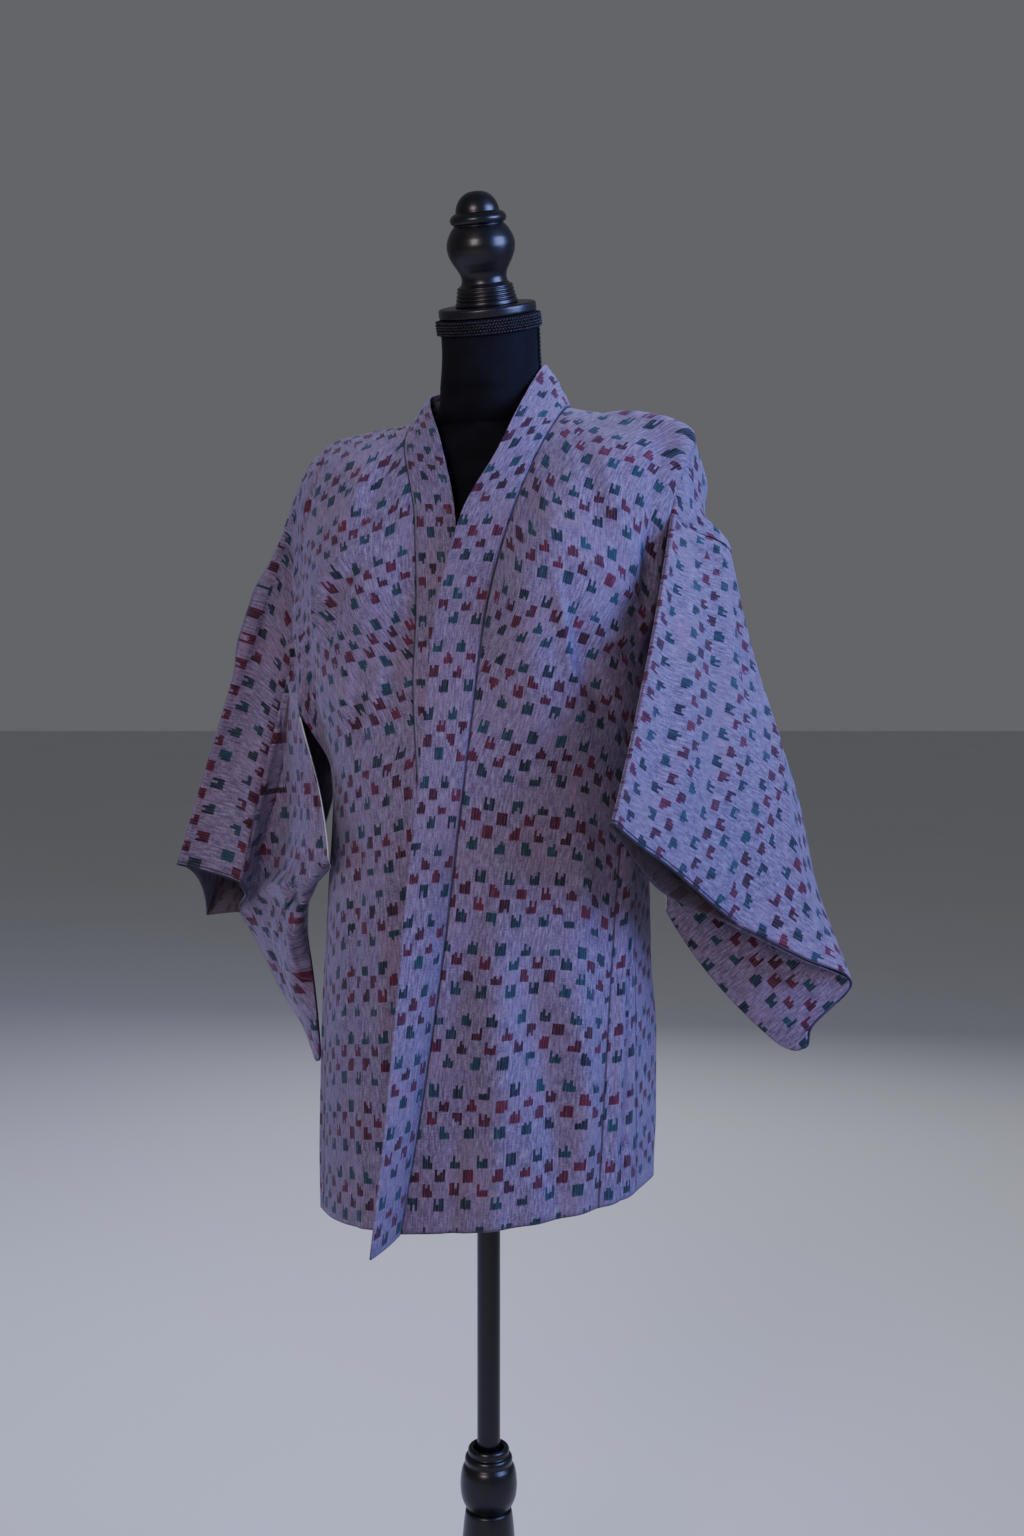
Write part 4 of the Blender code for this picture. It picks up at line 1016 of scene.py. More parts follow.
def kasuri(name, colours, wrong_side=False):
    """Crepe woven with small tied-and-dyed squares, read from the cloth's flat places.

    Millimetres across the cloth and along it give the row, the square in it and the bar in the
    square; white noise at those whole numbers gives the square's shifts, each bar's length and
    the shades, and one more at each thread gives the feathered ends of the bars.  The third
    number of a place picks another slice of the same noise.
    """
    shader = Shader(name)
    across, along = shader.on_cloth("cloth")
    wander = shader.noise(shader.place(across, along), 9.0, 1.0)
    x = across * 1000.0 + (wander - 0.5) * STRAY
    sway = shader.noise(shader.place(along, across, 3.0), 7.0, 1.0)
    y = along * 1000.0 + (sway - 0.5) * STRAY
    band = y / ROW_REPEAT
    in_band = band.part() * ROW_REPEAT
    edges = [(a + b) / 2 for a, b in zip(ROW_CENTRES, ROW_CENTRES[1:])]
    second, third, fourth = (in_band > edge for edge in edges)
    steps = [b - a for a, b in zip(ROW_CENTRES, ROW_CENTRES[1:])]
    centre = ROW_CENTRES[0] + second * steps[0] + third * steps[1] + fourth * steps[2]
    row = band.floor() * 4.0 + second + third + fourth
    out_of_step = second - third + fourth
    is_red = second - fourth
    pitch = x / PITCH + out_of_step * 0.5
    which = pitch.floor()
    first, other, last = shader.chance(shader.place(which, row, 0.5))
    u = (pitch.part() - 0.5) * PITCH + (first - 0.5) * SQUARE_SHIFT[0]
    v = in_band - centre + (other - 0.5) * SQUARE_SHIFT[1]
    thread = shader.chance(shader.place((across / THREAD).floor(), row, 7.5))[0]
    flip = (last > 0.10) * 2.0 - 1.0
    bar = ((u + SQUARE / 2) / (SQUARE / BARS)).floor()
    long, shade, _ = shader.chance(shader.place(which + bar * 0.13, row, 2.5))
    reach = 0.52 + (long > 0.3) * 0.22 + (long > 0.52) * 0.26
    climb = (v * flip + LONG_SIDE / 2 + (thread - 0.5) * 1.5) / LONG_SIDE
    inside = (abs(u) < SQUARE / 2 * 0.98) * (climb > 0.0) * (climb < reach)
    bar_edge = abs(((u + SQUARE / 2) / (SQUARE / BARS)).part() - 0.5)
    fleck = shader.noise(shader.place(across * 1500.0, along * 500.0), 1.0, 2.0)
    inside = inside * (1.0 - (bar_edge > 0.43) * 0.34) * (0.84 + fleck * 0.36)

    streak = shader.noise(shader.place(across * 520.0, along * 80.0), 1.0, 4.0, 0.72)
    weft = shader.noise(shader.place(across * 180.0, along * 1000.0, 5.0), 1.0, 2.0, 0.6)
    cloudy = shader.noise(shader.place(across, along, 9.0), 16.0, 3.0)
    ground = shader.mix(((streak - 0.38) * 5.0).clipped(), colours["shadow"], colours["ground"])
    lifted = ((weft - 0.47) * 3.4).clipped() * 0.34 + ((streak - 0.55) * 5.0).clipped() * 0.5
    ground = shader.mix(lifted.clipped(), ground, colours["light"])
    ground = shader.mix(((cloudy - 0.47) * 4.0).clipped() * 0.42, ground, colours["pink"])
    slub = shader.noise(shader.place(across * 1300.0, along * 210.0, 11.0), 1.0, 1.0)
    ground = shader.mix(((slub - 0.735) * 9.0).clipped() * 0.7, ground, colours["fleck"])

    tone = (first * 0.60 + shade * 0.60 - 0.22).clipped()
    green = shader.mix(tone, colours["dark_green"], colours["teal"])
    red = shader.mix(tone, colours["plum"], colours["crimson"])
    swap = other > 0.955
    family = is_red * (1.0 - swap) + (1.0 - is_red) * swap
    motif = shader.mix(family, green, red)
    motif = shader.mix(((streak - 0.52) * 3.4).clipped() * 0.16, motif, colours["light"])
    colour = shader.mix(inside.clipped() * 0.96, ground, motif)

    to_edge, to_seam = shader.on_cloth("edges")
    # A darker line along hems and open edges; along each sleeve's pressed top fold the same line is painted
    # shade.
    hem = ((HEM_LINE - to_edge) * 1500.0).clipped()
    colour = shader.mix(hem * 0.55, colour, colours["edge"])
    # Painted shade in the sunk line along each seam, which the bump below sinks as well.
    seam_groove_and_shade = ((SEAM_LINE - to_seam) * 1200.0).clipped()
    colour = shader.mix(seam_groove_and_shade * 0.60, colour, colours["seam"])
    # The wrong side shows on inner faces: the same cloth, dulled and darkened towards brown as painted
    # shade.
    if wrong_side:
        colour = shader.mix(0.72, colour, colours["inside"])

    crepe = shader.noise(shader.place(across * 520.0, along * 1150.0), 1.0, 3.0, 0.6)
    pucker = shader.noise(shader.place(across * 190.0, along * 420.0, 4.0), 1.0, 2.0)
    warp = (across * (math.tau / WARP)).sine() * 0.5 + 0.5
    relief = crepe * 0.9 + pucker * 0.8 + warp * 0.16 - seam_groove_and_shade * 1.3
    rough = 0.74 + streak * 0.22
    return shader.finish({
        "Base Color": colour,
        "Roughness": rough,
        "Normal": shader.bump(relief, 0.62, 0.00062),
        "Sheen Weight": 0.22,
        "Sheen Roughness": 0.45,
        "Sheen Tint": (0.72, 0.74, 1.0),
        "Specular IOR Level": 0.18,
    })


def velvet(name, colour, mottle):
    """Short black pile: soft cloudy mottling, fine nap in the bump and a strong sheen."""
    shader = Shader(name)
    space = shader.in_space()
    cloud = shader.noise(space, 26.0, 4.0, 0.6)
    nap = shader.noise(space, 900.0, 2.0)
    shade = shader.mix(((cloud - 0.44) * 3.2).clipped() * 0.8, colour, mottle)
    return shader.finish({
        "Base Color": shade,
        "Roughness": 0.80 + nap * 0.15,
        "Normal": shader.bump(nap + cloud * 0.4, 0.35, 0.0005),
        "Sheen Weight": 0.05,
        "Sheen Roughness": 0.35,
        "Sheen Tint": (0.55, 0.62, 0.9),
        "Specular IOR Level": 0.2,
    })


def braid(name, colour, light):
    """Twisted yarn: fine slanting strands over each knot, a little glossy on their crowns, which a patchy
    painted highlight lightens.
    """
    shader = Shader(name)
    space = shader.in_space()
    strands = shader.noise(space, 1400.0, 2.0)
    worn = shader.noise(space, 60.0, 2.0)
    # The lighter strands are a painted highlight on the crowns, patchier where the noise named worn is
    # high.
    shade = shader.mix(((strands - 0.5) * 3.0).clipped() * (0.3 + worn * 0.5), colour, light)
    return shader.finish({
        "Base Color": shade,
        "Roughness": 0.42 + strands * 0.3,
        "Normal": shader.bump(strands, 0.5, 0.0004),
        "Specular IOR Level": 0.45,
    })


def lacquer(name, colour, warm, gloss, coat):
    """Black lacquer over turned wood: faint rings of the turning, rough specks of dust here and there."""
    shader = Shader(name)
    space = shader.in_space()
    split = shader.node("ShaderNodeSeparateXYZ", None, {0: space})
    rings = shader.noise(shader.place(0.0, 0.0, split.out(2) * 900.0), 1.0, 2.0)
    cloud = shader.noise(space, 55.0, 3.0)
    speck = shader.noise(space, 420.0, 2.0)
    shade = shader.mix(((cloud - 0.45) * 3.0).clipped() * 0.6, colour, warm)
    rough = gloss + cloud * 0.10 + rings * 0.06 + ((speck - 0.66) * 6.0).clipped() * 0.18
    return shader.finish({
        "Base Color": shade,
        "Roughness": rough,
        "Normal": shader.bump(rings * 0.7 + speck * 0.3, 0.10, 0.0003),
        "Coat Weight": coat,
        "Coat Roughness": 0.22,
        "Specular IOR Level": 0.42,
    })


def floor_finish(name, colour):
    """A pale matt floor with the faintest cloudiness."""
    shader = Shader(name)
    cloud = shader.noise(shader.in_space(), 1.5, 3.0)
    shade = shader.mix(cloud * 0.12, colour, (0.42, 0.42, 0.44))
    return shader.finish({"Base Color": shade, "Roughness": 0.85 + cloud * 0.1, "Specular IOR Level": 0.2})


# ---------------- meshes
def add_mesh(name, points, faces, material, smooth=True):
    """A new object of these points and faces, linked into the scene."""
    mesh = bpy.data.meshes.new(name)
    mesh.from_pydata(np.asarray(points).tolist(), [], faces)
    if smooth:
        mesh.shade_smooth()
    mesh.materials.append(material)
    mesh.update()
    obj = bpy.data.objects.new(name, mesh)
    bpy.context.scene.collection.objects.link(obj)
    return obj


def grid_faces(rows, columns, wrap=False, turned=False):
    """Quads of a grid of points, closed round each row when `wrap` is set."""
    spans = columns if wrap else columns - 1
    row, column = np.meshgrid(np.arange(rows - 1), np.arange(spans), indexing="ij")
    beside = (column + 1) % columns
    corners = (
        row * columns + column,
        row * columns + beside,
        (row + 1) * columns + beside,
        (row + 1) * columns + column,
    )
    if turned:
        corners = corners[::-1]
    return np.stack(corners, axis=-1).reshape(-1, 4).tolist()


def pole_fans(rows, around, turned=False):
    """Triangles from the first and last ring of a wrapped grid to the two points after it."""
    here = np.arange(around)
    beside = (here + 1) % around
    if turned:
        here, beside = beside, here
    pole = np.full(around, rows * around)
    last = (rows - 1) * around
    first_fan = np.stack((pole, beside, here), axis=1)
    last_fan = np.stack((pole + 1, last + here, last + beside), axis=1)
    return first_fan.tolist() + last_fan.tolist()


def write_places(mesh, layer, places):
    """Stores flat places, one for each point of the mesh, as a UV map."""
    corner_points = np.empty(len(mesh.loops), np.int32)
    mesh.loops.foreach_get("vertex_index", corner_points)
    made = mesh.uv_layers.new(name=layer)
    made.data.foreach_set("uv", places[corner_points].astype(np.float32).reshape(-1))


def cloth_piece(name, grid, side, cut, edges, wall, outside, inside=None):
    """A thin wall of cloth about its grid; `side` says which way round its right side is."""
    rows, columns, _ = grid.shape
    faces = grid_faces(rows, columns, turned=side > 0)
    obj = add_mesh(name, grid.reshape(-1, 3), faces, outside)
    write_places(obj.data, "cloth", cut.reshape(-1, 2))
    write_places(obj.data, "edges", edges.reshape(-1, 2))
    solidify = obj.modifiers.new("wall", "SOLIDIFY")
    solidify.thickness = wall
    solidify.offset = 0.0
    if inside is not None:
        obj.data.materials.append(inside)
        solidify.material_offset = 1
        solidify.material_offset_rim = 0
    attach(obj, "root")
    return obj


def turned(name, profile, around, material):
    """A closed turned shape: the profile of (radius, height) spun round Z, fans at its poles."""
    profile = np.asarray(profile, float)
    turns = round_turns(around)
    middle = profile[1:-1]
    ring = np.stack((np.cos(turns), np.sin(turns)), axis=1)
    body = np.concatenate(
        (
            middle[:, None, :1] * ring[None],
            np.broadcast_to(middle[:, None, 1:], (len(middle), around, 1)),
        ),
        axis=2,
    ).reshape(-1, 3)
    poles = np.array([(0.0, 0.0, profile[0, 1]), (0.0, 0.0, profile[-1, 1])])
    faces = grid_faces(len(middle), around, wrap=True, turned=True)
    faces += pole_fans(len(middle), around, turned=True)
    return add_mesh(name, np.concatenate((body, poles)), faces, material)


def soft_profile(runs, step):
    """Runs of a profile, each a smooth curve from the end of the one before to its last point."""
    parts = []
    for before, run in zip(((), *runs), runs):
        run = np.asarray(before[-1:] + run, float)
        lengths = np.linalg.norm(np.diff(run, axis=0), axis=1)
        stations = np.concatenate(([0], np.cumsum(lengths)))
        count = max(int(stations[-1] / step), len(run))
        at = np.linspace(0, stations[-1], count + 1)
        straight = run[0] + (run[-1] - run[0]) * (at / stations[-1])[:, None]
        parts.append(smooth_curve(stations, run, at) if len(run) > 2 else straight)
    return np.concatenate([parts[0]] + [part[1:] for part in parts[1:]])


def stand_on_neck(obj, rise):
    """Tilts a mesh forward with the neck and sets it on the top, `rise` along the axis."""
    mesh = obj.data
    points = np.empty(len(mesh.vertices) * 3)
    mesh.vertices.foreach_get("co", points)
    points = points.reshape(-1, 3)
    cosine, sine = math.cos(NECK_TILT), math.sin(NECK_TILT)
    x, y, z = points.T
    tilted = np.stack((x, y * cosine - z * sine, y * sine + z * cosine), axis=1)
    tilted += np.array(NECK_TOP) + rise * neck_axis()
    mesh.vertices.foreach_set("co", tilted.reshape(-1))
    mesh.update()
    return obj


# ---------------- what a user may change
def length(name, description, default, low, high):
    """A length that the user may change."""
    return bpy.props.FloatProperty(
        name=name, description=description, default=default, min=low, max=high, unit="LENGTH"
    )


class HaoriSizes(bpy.types.PropertyGroup):
    """Sizes that the user may change"""

    cloth_wall: length(
        "Cloth wall", "How thick the woven cloth is", 0.0011, 0.0004, 0.0018
    )
    band_wall: length(
        "Band cloth wall", "How thick each layer of the folded band is", 0.0009, 0.0004, 0.0012
    )
    band_loft: length(
        "Band loft", "How far the band's two layers bow apart half way across", 0.0016, 0.0, 0.004
    )
    fold_depth: bpy.props.FloatProperty(
        name="Fold depth", description="How deep the folds are against their tables",
        default=1.0, min=0.0, max=1.5, subtype="FACTOR",
    )
    fineness: bpy.props.IntProperty(
        name="Fineness", description="Points laid in each step of the cloth's tables",
        default=6, min=1, max=8,
    )
    knot_rows: bpy.props.IntProperty(
        name="Rows of knots", description="Rows of small knots round the neck braid",
        default=5, min=3, max=6,
    )
    cord_radius: length(
        "Cord radius", "Half the thickness of the twisted cord on the neck seams", 0.0016, 0.0008, 0.003
    )
    floor_size: length(
        "Floor size", "Length of each side of the studio floor", 40.0, 4.0, 60.0
    )


def shade(name, description, default):
    """A colour that the user may change."""
    return bpy.props.FloatVectorProperty(
        name=name, description=description, default=default, subtype="COLOR", min=0.0, max=1.0
    )


class HaoriColours(bpy.types.PropertyGroup):
    """Colours that the user may change"""

    ground: shade("Ground", "The cloth between the squares", (0.178, 0.142, 0.232))
    shadow: shade("Ground, darker threads", "Darker threads of the ground", (0.078, 0.060, 0.106))
    light: shade("Ground, lighter threads", "Lighter threads of the ground", (0.360, 0.315, 0.470))
    pink: shade("Pink threads", "Threads that lean to pink", (0.215, 0.148, 0.205))
    fleck: shade("White flecks", "Small slubs of undyed yarn", (0.62, 0.52, 0.66))
    dark_green: shade("Dark green", "The darkest green squares", (0.004, 0.009, 0.014))
    teal: shade("Teal", "The brightest green squares", (0.005, 0.056, 0.070))
    plum: shade("Plum", "The darkest red squares", (0.018, 0.004, 0.009))
    crimson: shade("Crimson", "The brightest red squares", (0.115, 0.009, 0.026))
    # A darker line along hems and open edges, and painted shade along the sleeves' pressed top folds.
    edge: shade("Fold line", "The worn line along a hem or a pressed fold", (0.062, 0.034, 0.052))
    selvedge: shade("Selvedge", "The pale thread along a woven edge", (0.62, 0.60, 0.66))
    # Painted shade in the sunk line along each seam.
    seam: shade("Seam line", "The sunk line along a seam", (0.030, 0.022, 0.045))
    # The wrong side's colour: its darkening towards brown is painted shade of the inner faces.
    inside: shade("Wrong side", "The inside of the cloth", (0.060, 0.042, 0.052))
    piping: shade("Piping", "Navy silk at the cuffs", (0.006, 0.007, 0.022))
    velvet: shade("Form cover", "Black pile of the form's cover", (0.0022, 0.0023, 0.0040))
    mottle: shade("Form cover, rubbed", "Rubbed pile", (0.006, 0.007, 0.014))
    braid: shade("Braid", "Black braid", (0.006, 0.006, 0.009))
    braid_light: shade("Braid, lit strands", "Glossy strands", (0.045, 0.045, 0.062))
    lacquer: shade("Lacquer", "Black lacquer", (0.0045, 0.0045, 0.0060))
    lacquer_warm: shade("Lacquer, brown", "Brown showing through", (0.012, 0.009, 0.010))
    floor: shade("Floor", "The studio floor", (0.74, 0.74, 0.76))


def sizes():
    """The sizes as they are set in the scene."""
    return bpy.context.scene.haori_sizes


def colours():
    """The colours as they are set in the scene, by name."""
    group = bpy.context.scene.haori_colours
    names = HaoriColours.__annotations__
    return {name: tuple(getattr(group, name)) for name in names}


def once(name, make):
    """The material of this name, made the first time that it is asked for."""
    return bpy.data.materials.get(name) or make(name)


def main_cloth():
    """The cloth's right side."""
    return once("kasuri cloth", lambda name: kasuri(name, colours()))


def wrong_cloth():
    """The cloth's wrong side: the same squares, dulled and darkened towards brown as painted shade."""
    return once("kasuri cloth, wrong side", lambda name: kasuri(name, colours(), True))


# ---------------- pieces of the coat
def jacket():
    """The sleeves and body panels of both sides, worked out from the tables."""
    sleeves = {
        1: Sleeve(TOP_FOLD_LEFT, FRONT_LAYER_LEFT, BACK_LAYER_LEFT),
        -1: Sleeve(TOP_FOLD_RIGHT, FRONT_LAYER_RIGHT, BACK_LAYER_RIGHT),
    }
    panels = {
        1: Panel(1, HANG_LEFT, YOKE_LEFT, sleeves[1], 0.0),
        -1: Panel(-1, HANG_RIGHT, YOKE_RIGHT, sleeves[-1], FRONT_LAP),
    }
    return sleeves, panels


def deeper(folds):
    """The folds with their depths scaled as the user has set them."""
    depth = sizes().fold_depth
    return [fold._replace(depth=fold.depth * depth) for fold in folds]


def shifted(cut, across, along):
    """Flat places moved across and along the cloth."""
    return cut + np.array((across, along))


# Where the woven rows start on each piece, across and along, as the cloth was cut.
CUT_STARTS = {
    "body_left": (0.0125, 0.0496),
    "body_right": (1.0, 0.0),
    "gusset_left": (2.0, 0.0),
    "gusset_right": (2.2, 0.0),
    "sleeve_left": (3.0, 0.0),
    "sleeve_right": (4.0, 0.0),
    "band": (5.0, 0.0),
}
SIDES = ((1, "left"), (-1, "right"))
# Points across: parts in each of a panel's steps, then whole counts.
PANEL_PARTS = 10
SLEEVE_COLUMNS = 84
GUSSET_COLUMNS = 28
# Where a front layer bunches, below this drop, its squares run along two ways in space.
Spread = namedtuple("Spread", "below centre across along")
SPREADS = {
    1: Spread(-0.10, (0.256, 0.047, 0.800), (0.682, 0.009, -0.732), (0.730, 0.063, 0.681)),
    -1: Spread(-0.066, (-0.210, -0.030, 0.880), (-0.511, 0.462, -0.182), (-0.091, 0.006, 0.976)),
}
# The armhole seam lies open and flat, so it shows no sunk line and no painted shade.
ARMHOLE_EASE = 0.002
# The pressed top fold shows a fainter line of painted shade, as if it lay this far from the cloth's edge.
TOP_FOLD_SHADE_LINE = 0.0009
# Folds fade out over these lengths at a sewn edge and at the sleeve's bottom, and they sink by no
# more than this share of the way to the other layer.
EDGE_FADE = 0.012
BOTTOM_FADE = 0.02
ROOM_SHARE = 0.35


def body_cloth(side, panel):
    """Grid, flat places and distances to edges of one body panel."""
    fine = sizes().fineness
    grid = facing(panel_grid(panel, fine, PANEL_PARTS), side)
    cut = panel_cut(grid)
    folds = FOLDS_BODY_LEFT if side > 0 else FOLDS_BODY_RIGHT
    grid = pressed(grid, cut, deeper(folds), -side, edge_hold(cut))
    length = cut[-1, 0, 1]
    width = cut[:, :1, 0]
    to_edge = np.minimum(cut[..., 1], length - cut[..., 1])
    open_seam = ARMHOLE_EASE * (np.abs(cut[..., 1] - length / 2) < length / 4)
    to_seam = np.minimum(cut[..., 0] + open_seam, width - cut[..., 0])
    return grid, cut, np.stack((to_edge, to_seam), axis=2)


def edge_hold(cut, span=EDGE_FADE):
    """Nothing at the sewn edges across the cloth, in full a little way in, level at both ends."""
    width = cut[:, :1, 0] + cut[:, -1:, 0]
    inward = np.minimum(cut[..., 0], width - cut[..., 0])
    share = np.clip(inward / span, 0, 1)
    return share**2 * (3 - 2 * share)


def sleeve_cloth(side, sleeve, panel):
    """Grid, flat places and distances to edges of one sleeve."""
    grid, drops, reach = sleeve_grid(sleeve, panel, sizes().fineness, SLEEVE_COLUMNS)
    grid = facing(grid, side)
    down = np.broadcast_to(drops[:, None], reach.shape)
    cut = np.stack((reach, down), axis=2)
    folds = FOLDS_SLEEVE_LEFT if side > 0 else FOLDS_SLEEVE_RIGHT
    ends = np.clip((SLEEVE_DROP - np.abs(down)) / BOTTOM_FADE, 0, 1)
    wrist = reach[:, -1:] - reach
    sewn = np.abs(down) > ARMHOLE_DEPTH
    hold = ends * np.clip(np.where(sewn, wrist, reach) / EDGE_FADE, 0, 1)
    room = np.linalg.norm(grid - grid[::-1], axis=2) * ROOM_SHARE
    grid = pressed(grid, cut, deeper(folds), -side, hold, room)
    to_bottom = SLEEVE_DROP - np.abs(down)
    # The top fold counts as an edge here, so it gets the fold line as painted shade.
    to_edge = np.minimum(np.where(sewn, reach, wrist), np.abs(down) + TOP_FOLD_SHADE_LINE)
    to_seam = np.minimum(np.where(sewn, wrist, reach + ARMHOLE_EASE), to_bottom)
    cut = spread_squares(grid, shifted(cut, 0.0, SLEEVE_DROP), down, SPREADS[side])
    return grid, cut, np.stack((to_edge, to_seam), axis=2)


def spread_squares(grid, cut, down, spread):
    """Flat places below the drop, measured off the grid along the spread's two ways."""
    ways = np.array((spread.across, spread.along)).T
    laid = (grid - np.array(spread.centre)) @ ways
    return np.where((down < spread.below)[..., None], laid, cut)


class HAORI_OT_body_panels(bpy.types.Operator):
    """Lays both body panels, each one length of cloth over the shoulder"""

    bl_idname = "haori.body_panels"
    bl_label = "Body panels"

    def execute(self, context):
        _, panels = jacket()
        for side, word in SIDES:
            grid, cut, edges = body_cloth(side, panels[side])
            cut = shifted(cut, *CUT_STARTS["body_" + word])
            piece = cloth_piece(
                word + "_body_cloth", grid, -side, cut, edges, sizes().cloth_wall,
                main_cloth(), wrong_cloth(),
            )
            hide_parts("body_panel_" + word)
        return {"FINISHED"}


class HAORI_OT_gussets(bpy.types.Operator):
    """Sets the narrow strip between front and back at each side"""

    bl_idname = "haori.gussets"
    bl_label = "Side gussets"

    def execute(self, context):
        _, panels = jacket()
        for side, word in SIDES:
            grid = facing(gusset_grid(panels[side], sizes().fineness, GUSSET_COLUMNS), side)
            across = lengths_along(grid, 1)
            along = lengths_along(grid, 0)
            cut = np.stack((across, along), axis=2)
            grid = pressed(grid, cut, deeper(FOLDS_GUSSET), -side, edge_hold(cut))
            to_seam = np.minimum(across, across[:, -1:] - across)
            edges = np.stack((along, to_seam), axis=2)
            cut = shifted(cut, *CUT_STARTS["gusset_" + word])
            piece = cloth_piece(
                word + "_gusset_cloth", grid, -side, cut, edges, sizes().cloth_wall,
                main_cloth(), wrong_cloth(),
            )
            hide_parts("gusset_" + word)
        return {"FINISHED"}


class HAORI_OT_sleeves(bpy.types.Operator):
    """Folds both sleeves over their tops and closes them below the cuffs, with their piping"""

    bl_idname = "haori.sleeves"
    bl_label = "Sleeves"

    def execute(self, context):
        sleeves, panels = jacket()
        navy = once("navy piping", lambda name: piping(name, colours()["piping"]))
        pale = once("pale selvedge", lambda name: piping(name, colours()["selvedge"]))
        for side, word in SIDES:
            grid, cut, edges = sleeve_cloth(side, sleeves[side], panels[side])
            cut = shifted(cut, *CUT_STARTS["sleeve_" + word])
            piece = cloth_piece(
                word + "_sleeve_cloth", grid, -side, cut, edges, sizes().cloth_wall,
                main_cloth(), wrong_cloth(),
            )
            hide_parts("sleeve_" + word)
            lines = edge_rolls(word + "_cuff_piping", grid, cuff_edges(), CUFF_ROLLS, -side, navy)
            woven = edge_rolls(
                word + "_sleeve_selvedge", grid, underarm_edges(), SELVEDGE_ROLLS, -side, pale
            )
        return {"FINISHED"}


# The right end of the band is turned up by this much over this length, so that it stays behind
# the left front; its way up is read this many rows from its end.
BAND_TUCK = 0.012
TUCK_RUN = 0.10
TUCK_ROWS = 10
# The folded band: its width, the gap between its layers, the power of its bow, the inner layer's
# share of it, the points across each layer and round the fold, and the length in which its
# pressed folds fade out at its edges.
BAND_WIDTH = 0.055
LAYER_GAP = 0.0005
BOW_POWER = 0.8
INNER_BOW = 0.25
LAYER_COLUMNS = 18
FOLD_COLUMNS = 7
BAND_EDGE_FADE = 0.004
# Rolls along an edge: how far in from it, radius and lift off the cloth's middle.
CUFF_ROLLS = ((0.0006, 0.0008, 0.0004), (0.0042, 0.00055, 0.0006))
SELVEDGE_ROLLS = ((0.0002, 0.00075, 0.0003),)
# How far short of a seam a roll stops, and the sides of a roll's or a strand's round section.
ROLL_STOP = 0.004
TUBE_SIDES = 8


def cuff_edges():
    """The rows of the open cuff and the columns of its edge and just inside it."""
    drops = refine(sleeve_drops(), sizes().fineness)
    return [(np.flatnonzero(np.abs(drops) <= ARMHOLE_DEPTH - ROLL_STOP), -1, -3)]


def underarm_edges():
    """The same for the open edges below the armhole, front layer then back."""
    drops = refine(sleeve_drops(), sizes().fineness)
    low, high = ARMHOLE_DEPTH + 1.5 * ROLL_STOP, SLEEVE_DROP - ROLL_STOP
    front = np.flatnonzero((drops <= -low) & (drops >= -high))
    back = np.flatnonzero((drops >= low) & (drops <= high))
    return [(front, 0, 2), (back, 0, 2)]


def edge_rolls(name, grid, edges, rolls, outward, material):
    """Thin rolls along open edges: round sections carried along the edge line."""
    tubes = []
    for rows, column, beside in edges:
        line = grid[rows][:, column]
        inward = unit(grid[rows][:, beside] - line)
        normal = grid_normals(grid)[rows][:, column] * outward
        for place, radius, lift in rolls:
            centre = line + inward * place + normal * lift
            tubes.append(tube(centre, normal, inward, radius))
    obj = add_mesh(name, *joined(tubes), material)
    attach(obj, "root")
    return obj


def tube(centre, first, second, radius):
    """A round section carried along a path, with a fan of quads drawn in to close each end."""
    drawn_in = 0.02
    turns = round_turns(TUBE_SIDES)
    ring = np.cos(turns)[None, :, None] * first[:, None] + np.sin(turns)[None, :, None] * second[:, None]
    swell = np.ones(len(centre) + 2)
    swell[[0, -1]] = drawn_in
    centre = np.concatenate((centre[:1], centre, centre[-1:]))
    ring = np.concatenate((ring[:1], ring, ring[-1:]))
    points = centre[:, None] + ring * (radius * swell)[:, None, None]
    fan = np.array([(0, k, k + 1, k + 2) for k in range(1, TUBE_SIDES - 2, 2)])
    quads = grid_faces(len(centre), TUBE_SIDES, wrap=True) + (TUBE_SIDES - 1 - fan).tolist()
    quads += ((len(centre) - 1) * TUBE_SIDES + fan).tolist()
    return points.reshape(-1, 3), np.array(quads)


def joined(tubes):
    """Points and faces of several tubes as those of one mesh."""
    starts = np.cumsum([0] + [len(points) for points, _ in tubes[:-1]])
    faces = np.concatenate([quads + start for (_, quads), start in zip(tubes, starts)])
    return np.concatenate([points for points, _ in tubes]), faces.tolist()


def band_section(wall):
    """The folded band's section: shares of its width, lifts off its middle, and ways past it.

    The outer layer bows up by a sine raised to a power, a half circle turns at the fold, and
    the inner layer comes back with a share of the same bow.
    """
    half = (wall + LAYER_GAP) / 2
    shares = np.sin(np.linspace(0, math.pi / 2, LAYER_COLUMNS))
    fold = np.linspace(0, math.pi, FOLD_COLUMNS + 2)[1:-1]
    bow = sizes().band_loft * np.sin(math.pi * shares) ** BOW_POWER
    flat = np.zeros(len(shares))
    reach = np.concatenate((shares, np.ones(len(fold)), shares[::-1]))
    lift = np.concatenate((half + bow, half * np.cos(fold), -half - INNER_BOW * bow[::-1]))
    past = np.concatenate((flat, half * np.sin(fold), flat)) - half
    return reach, lift, past * (reach > 0.5)


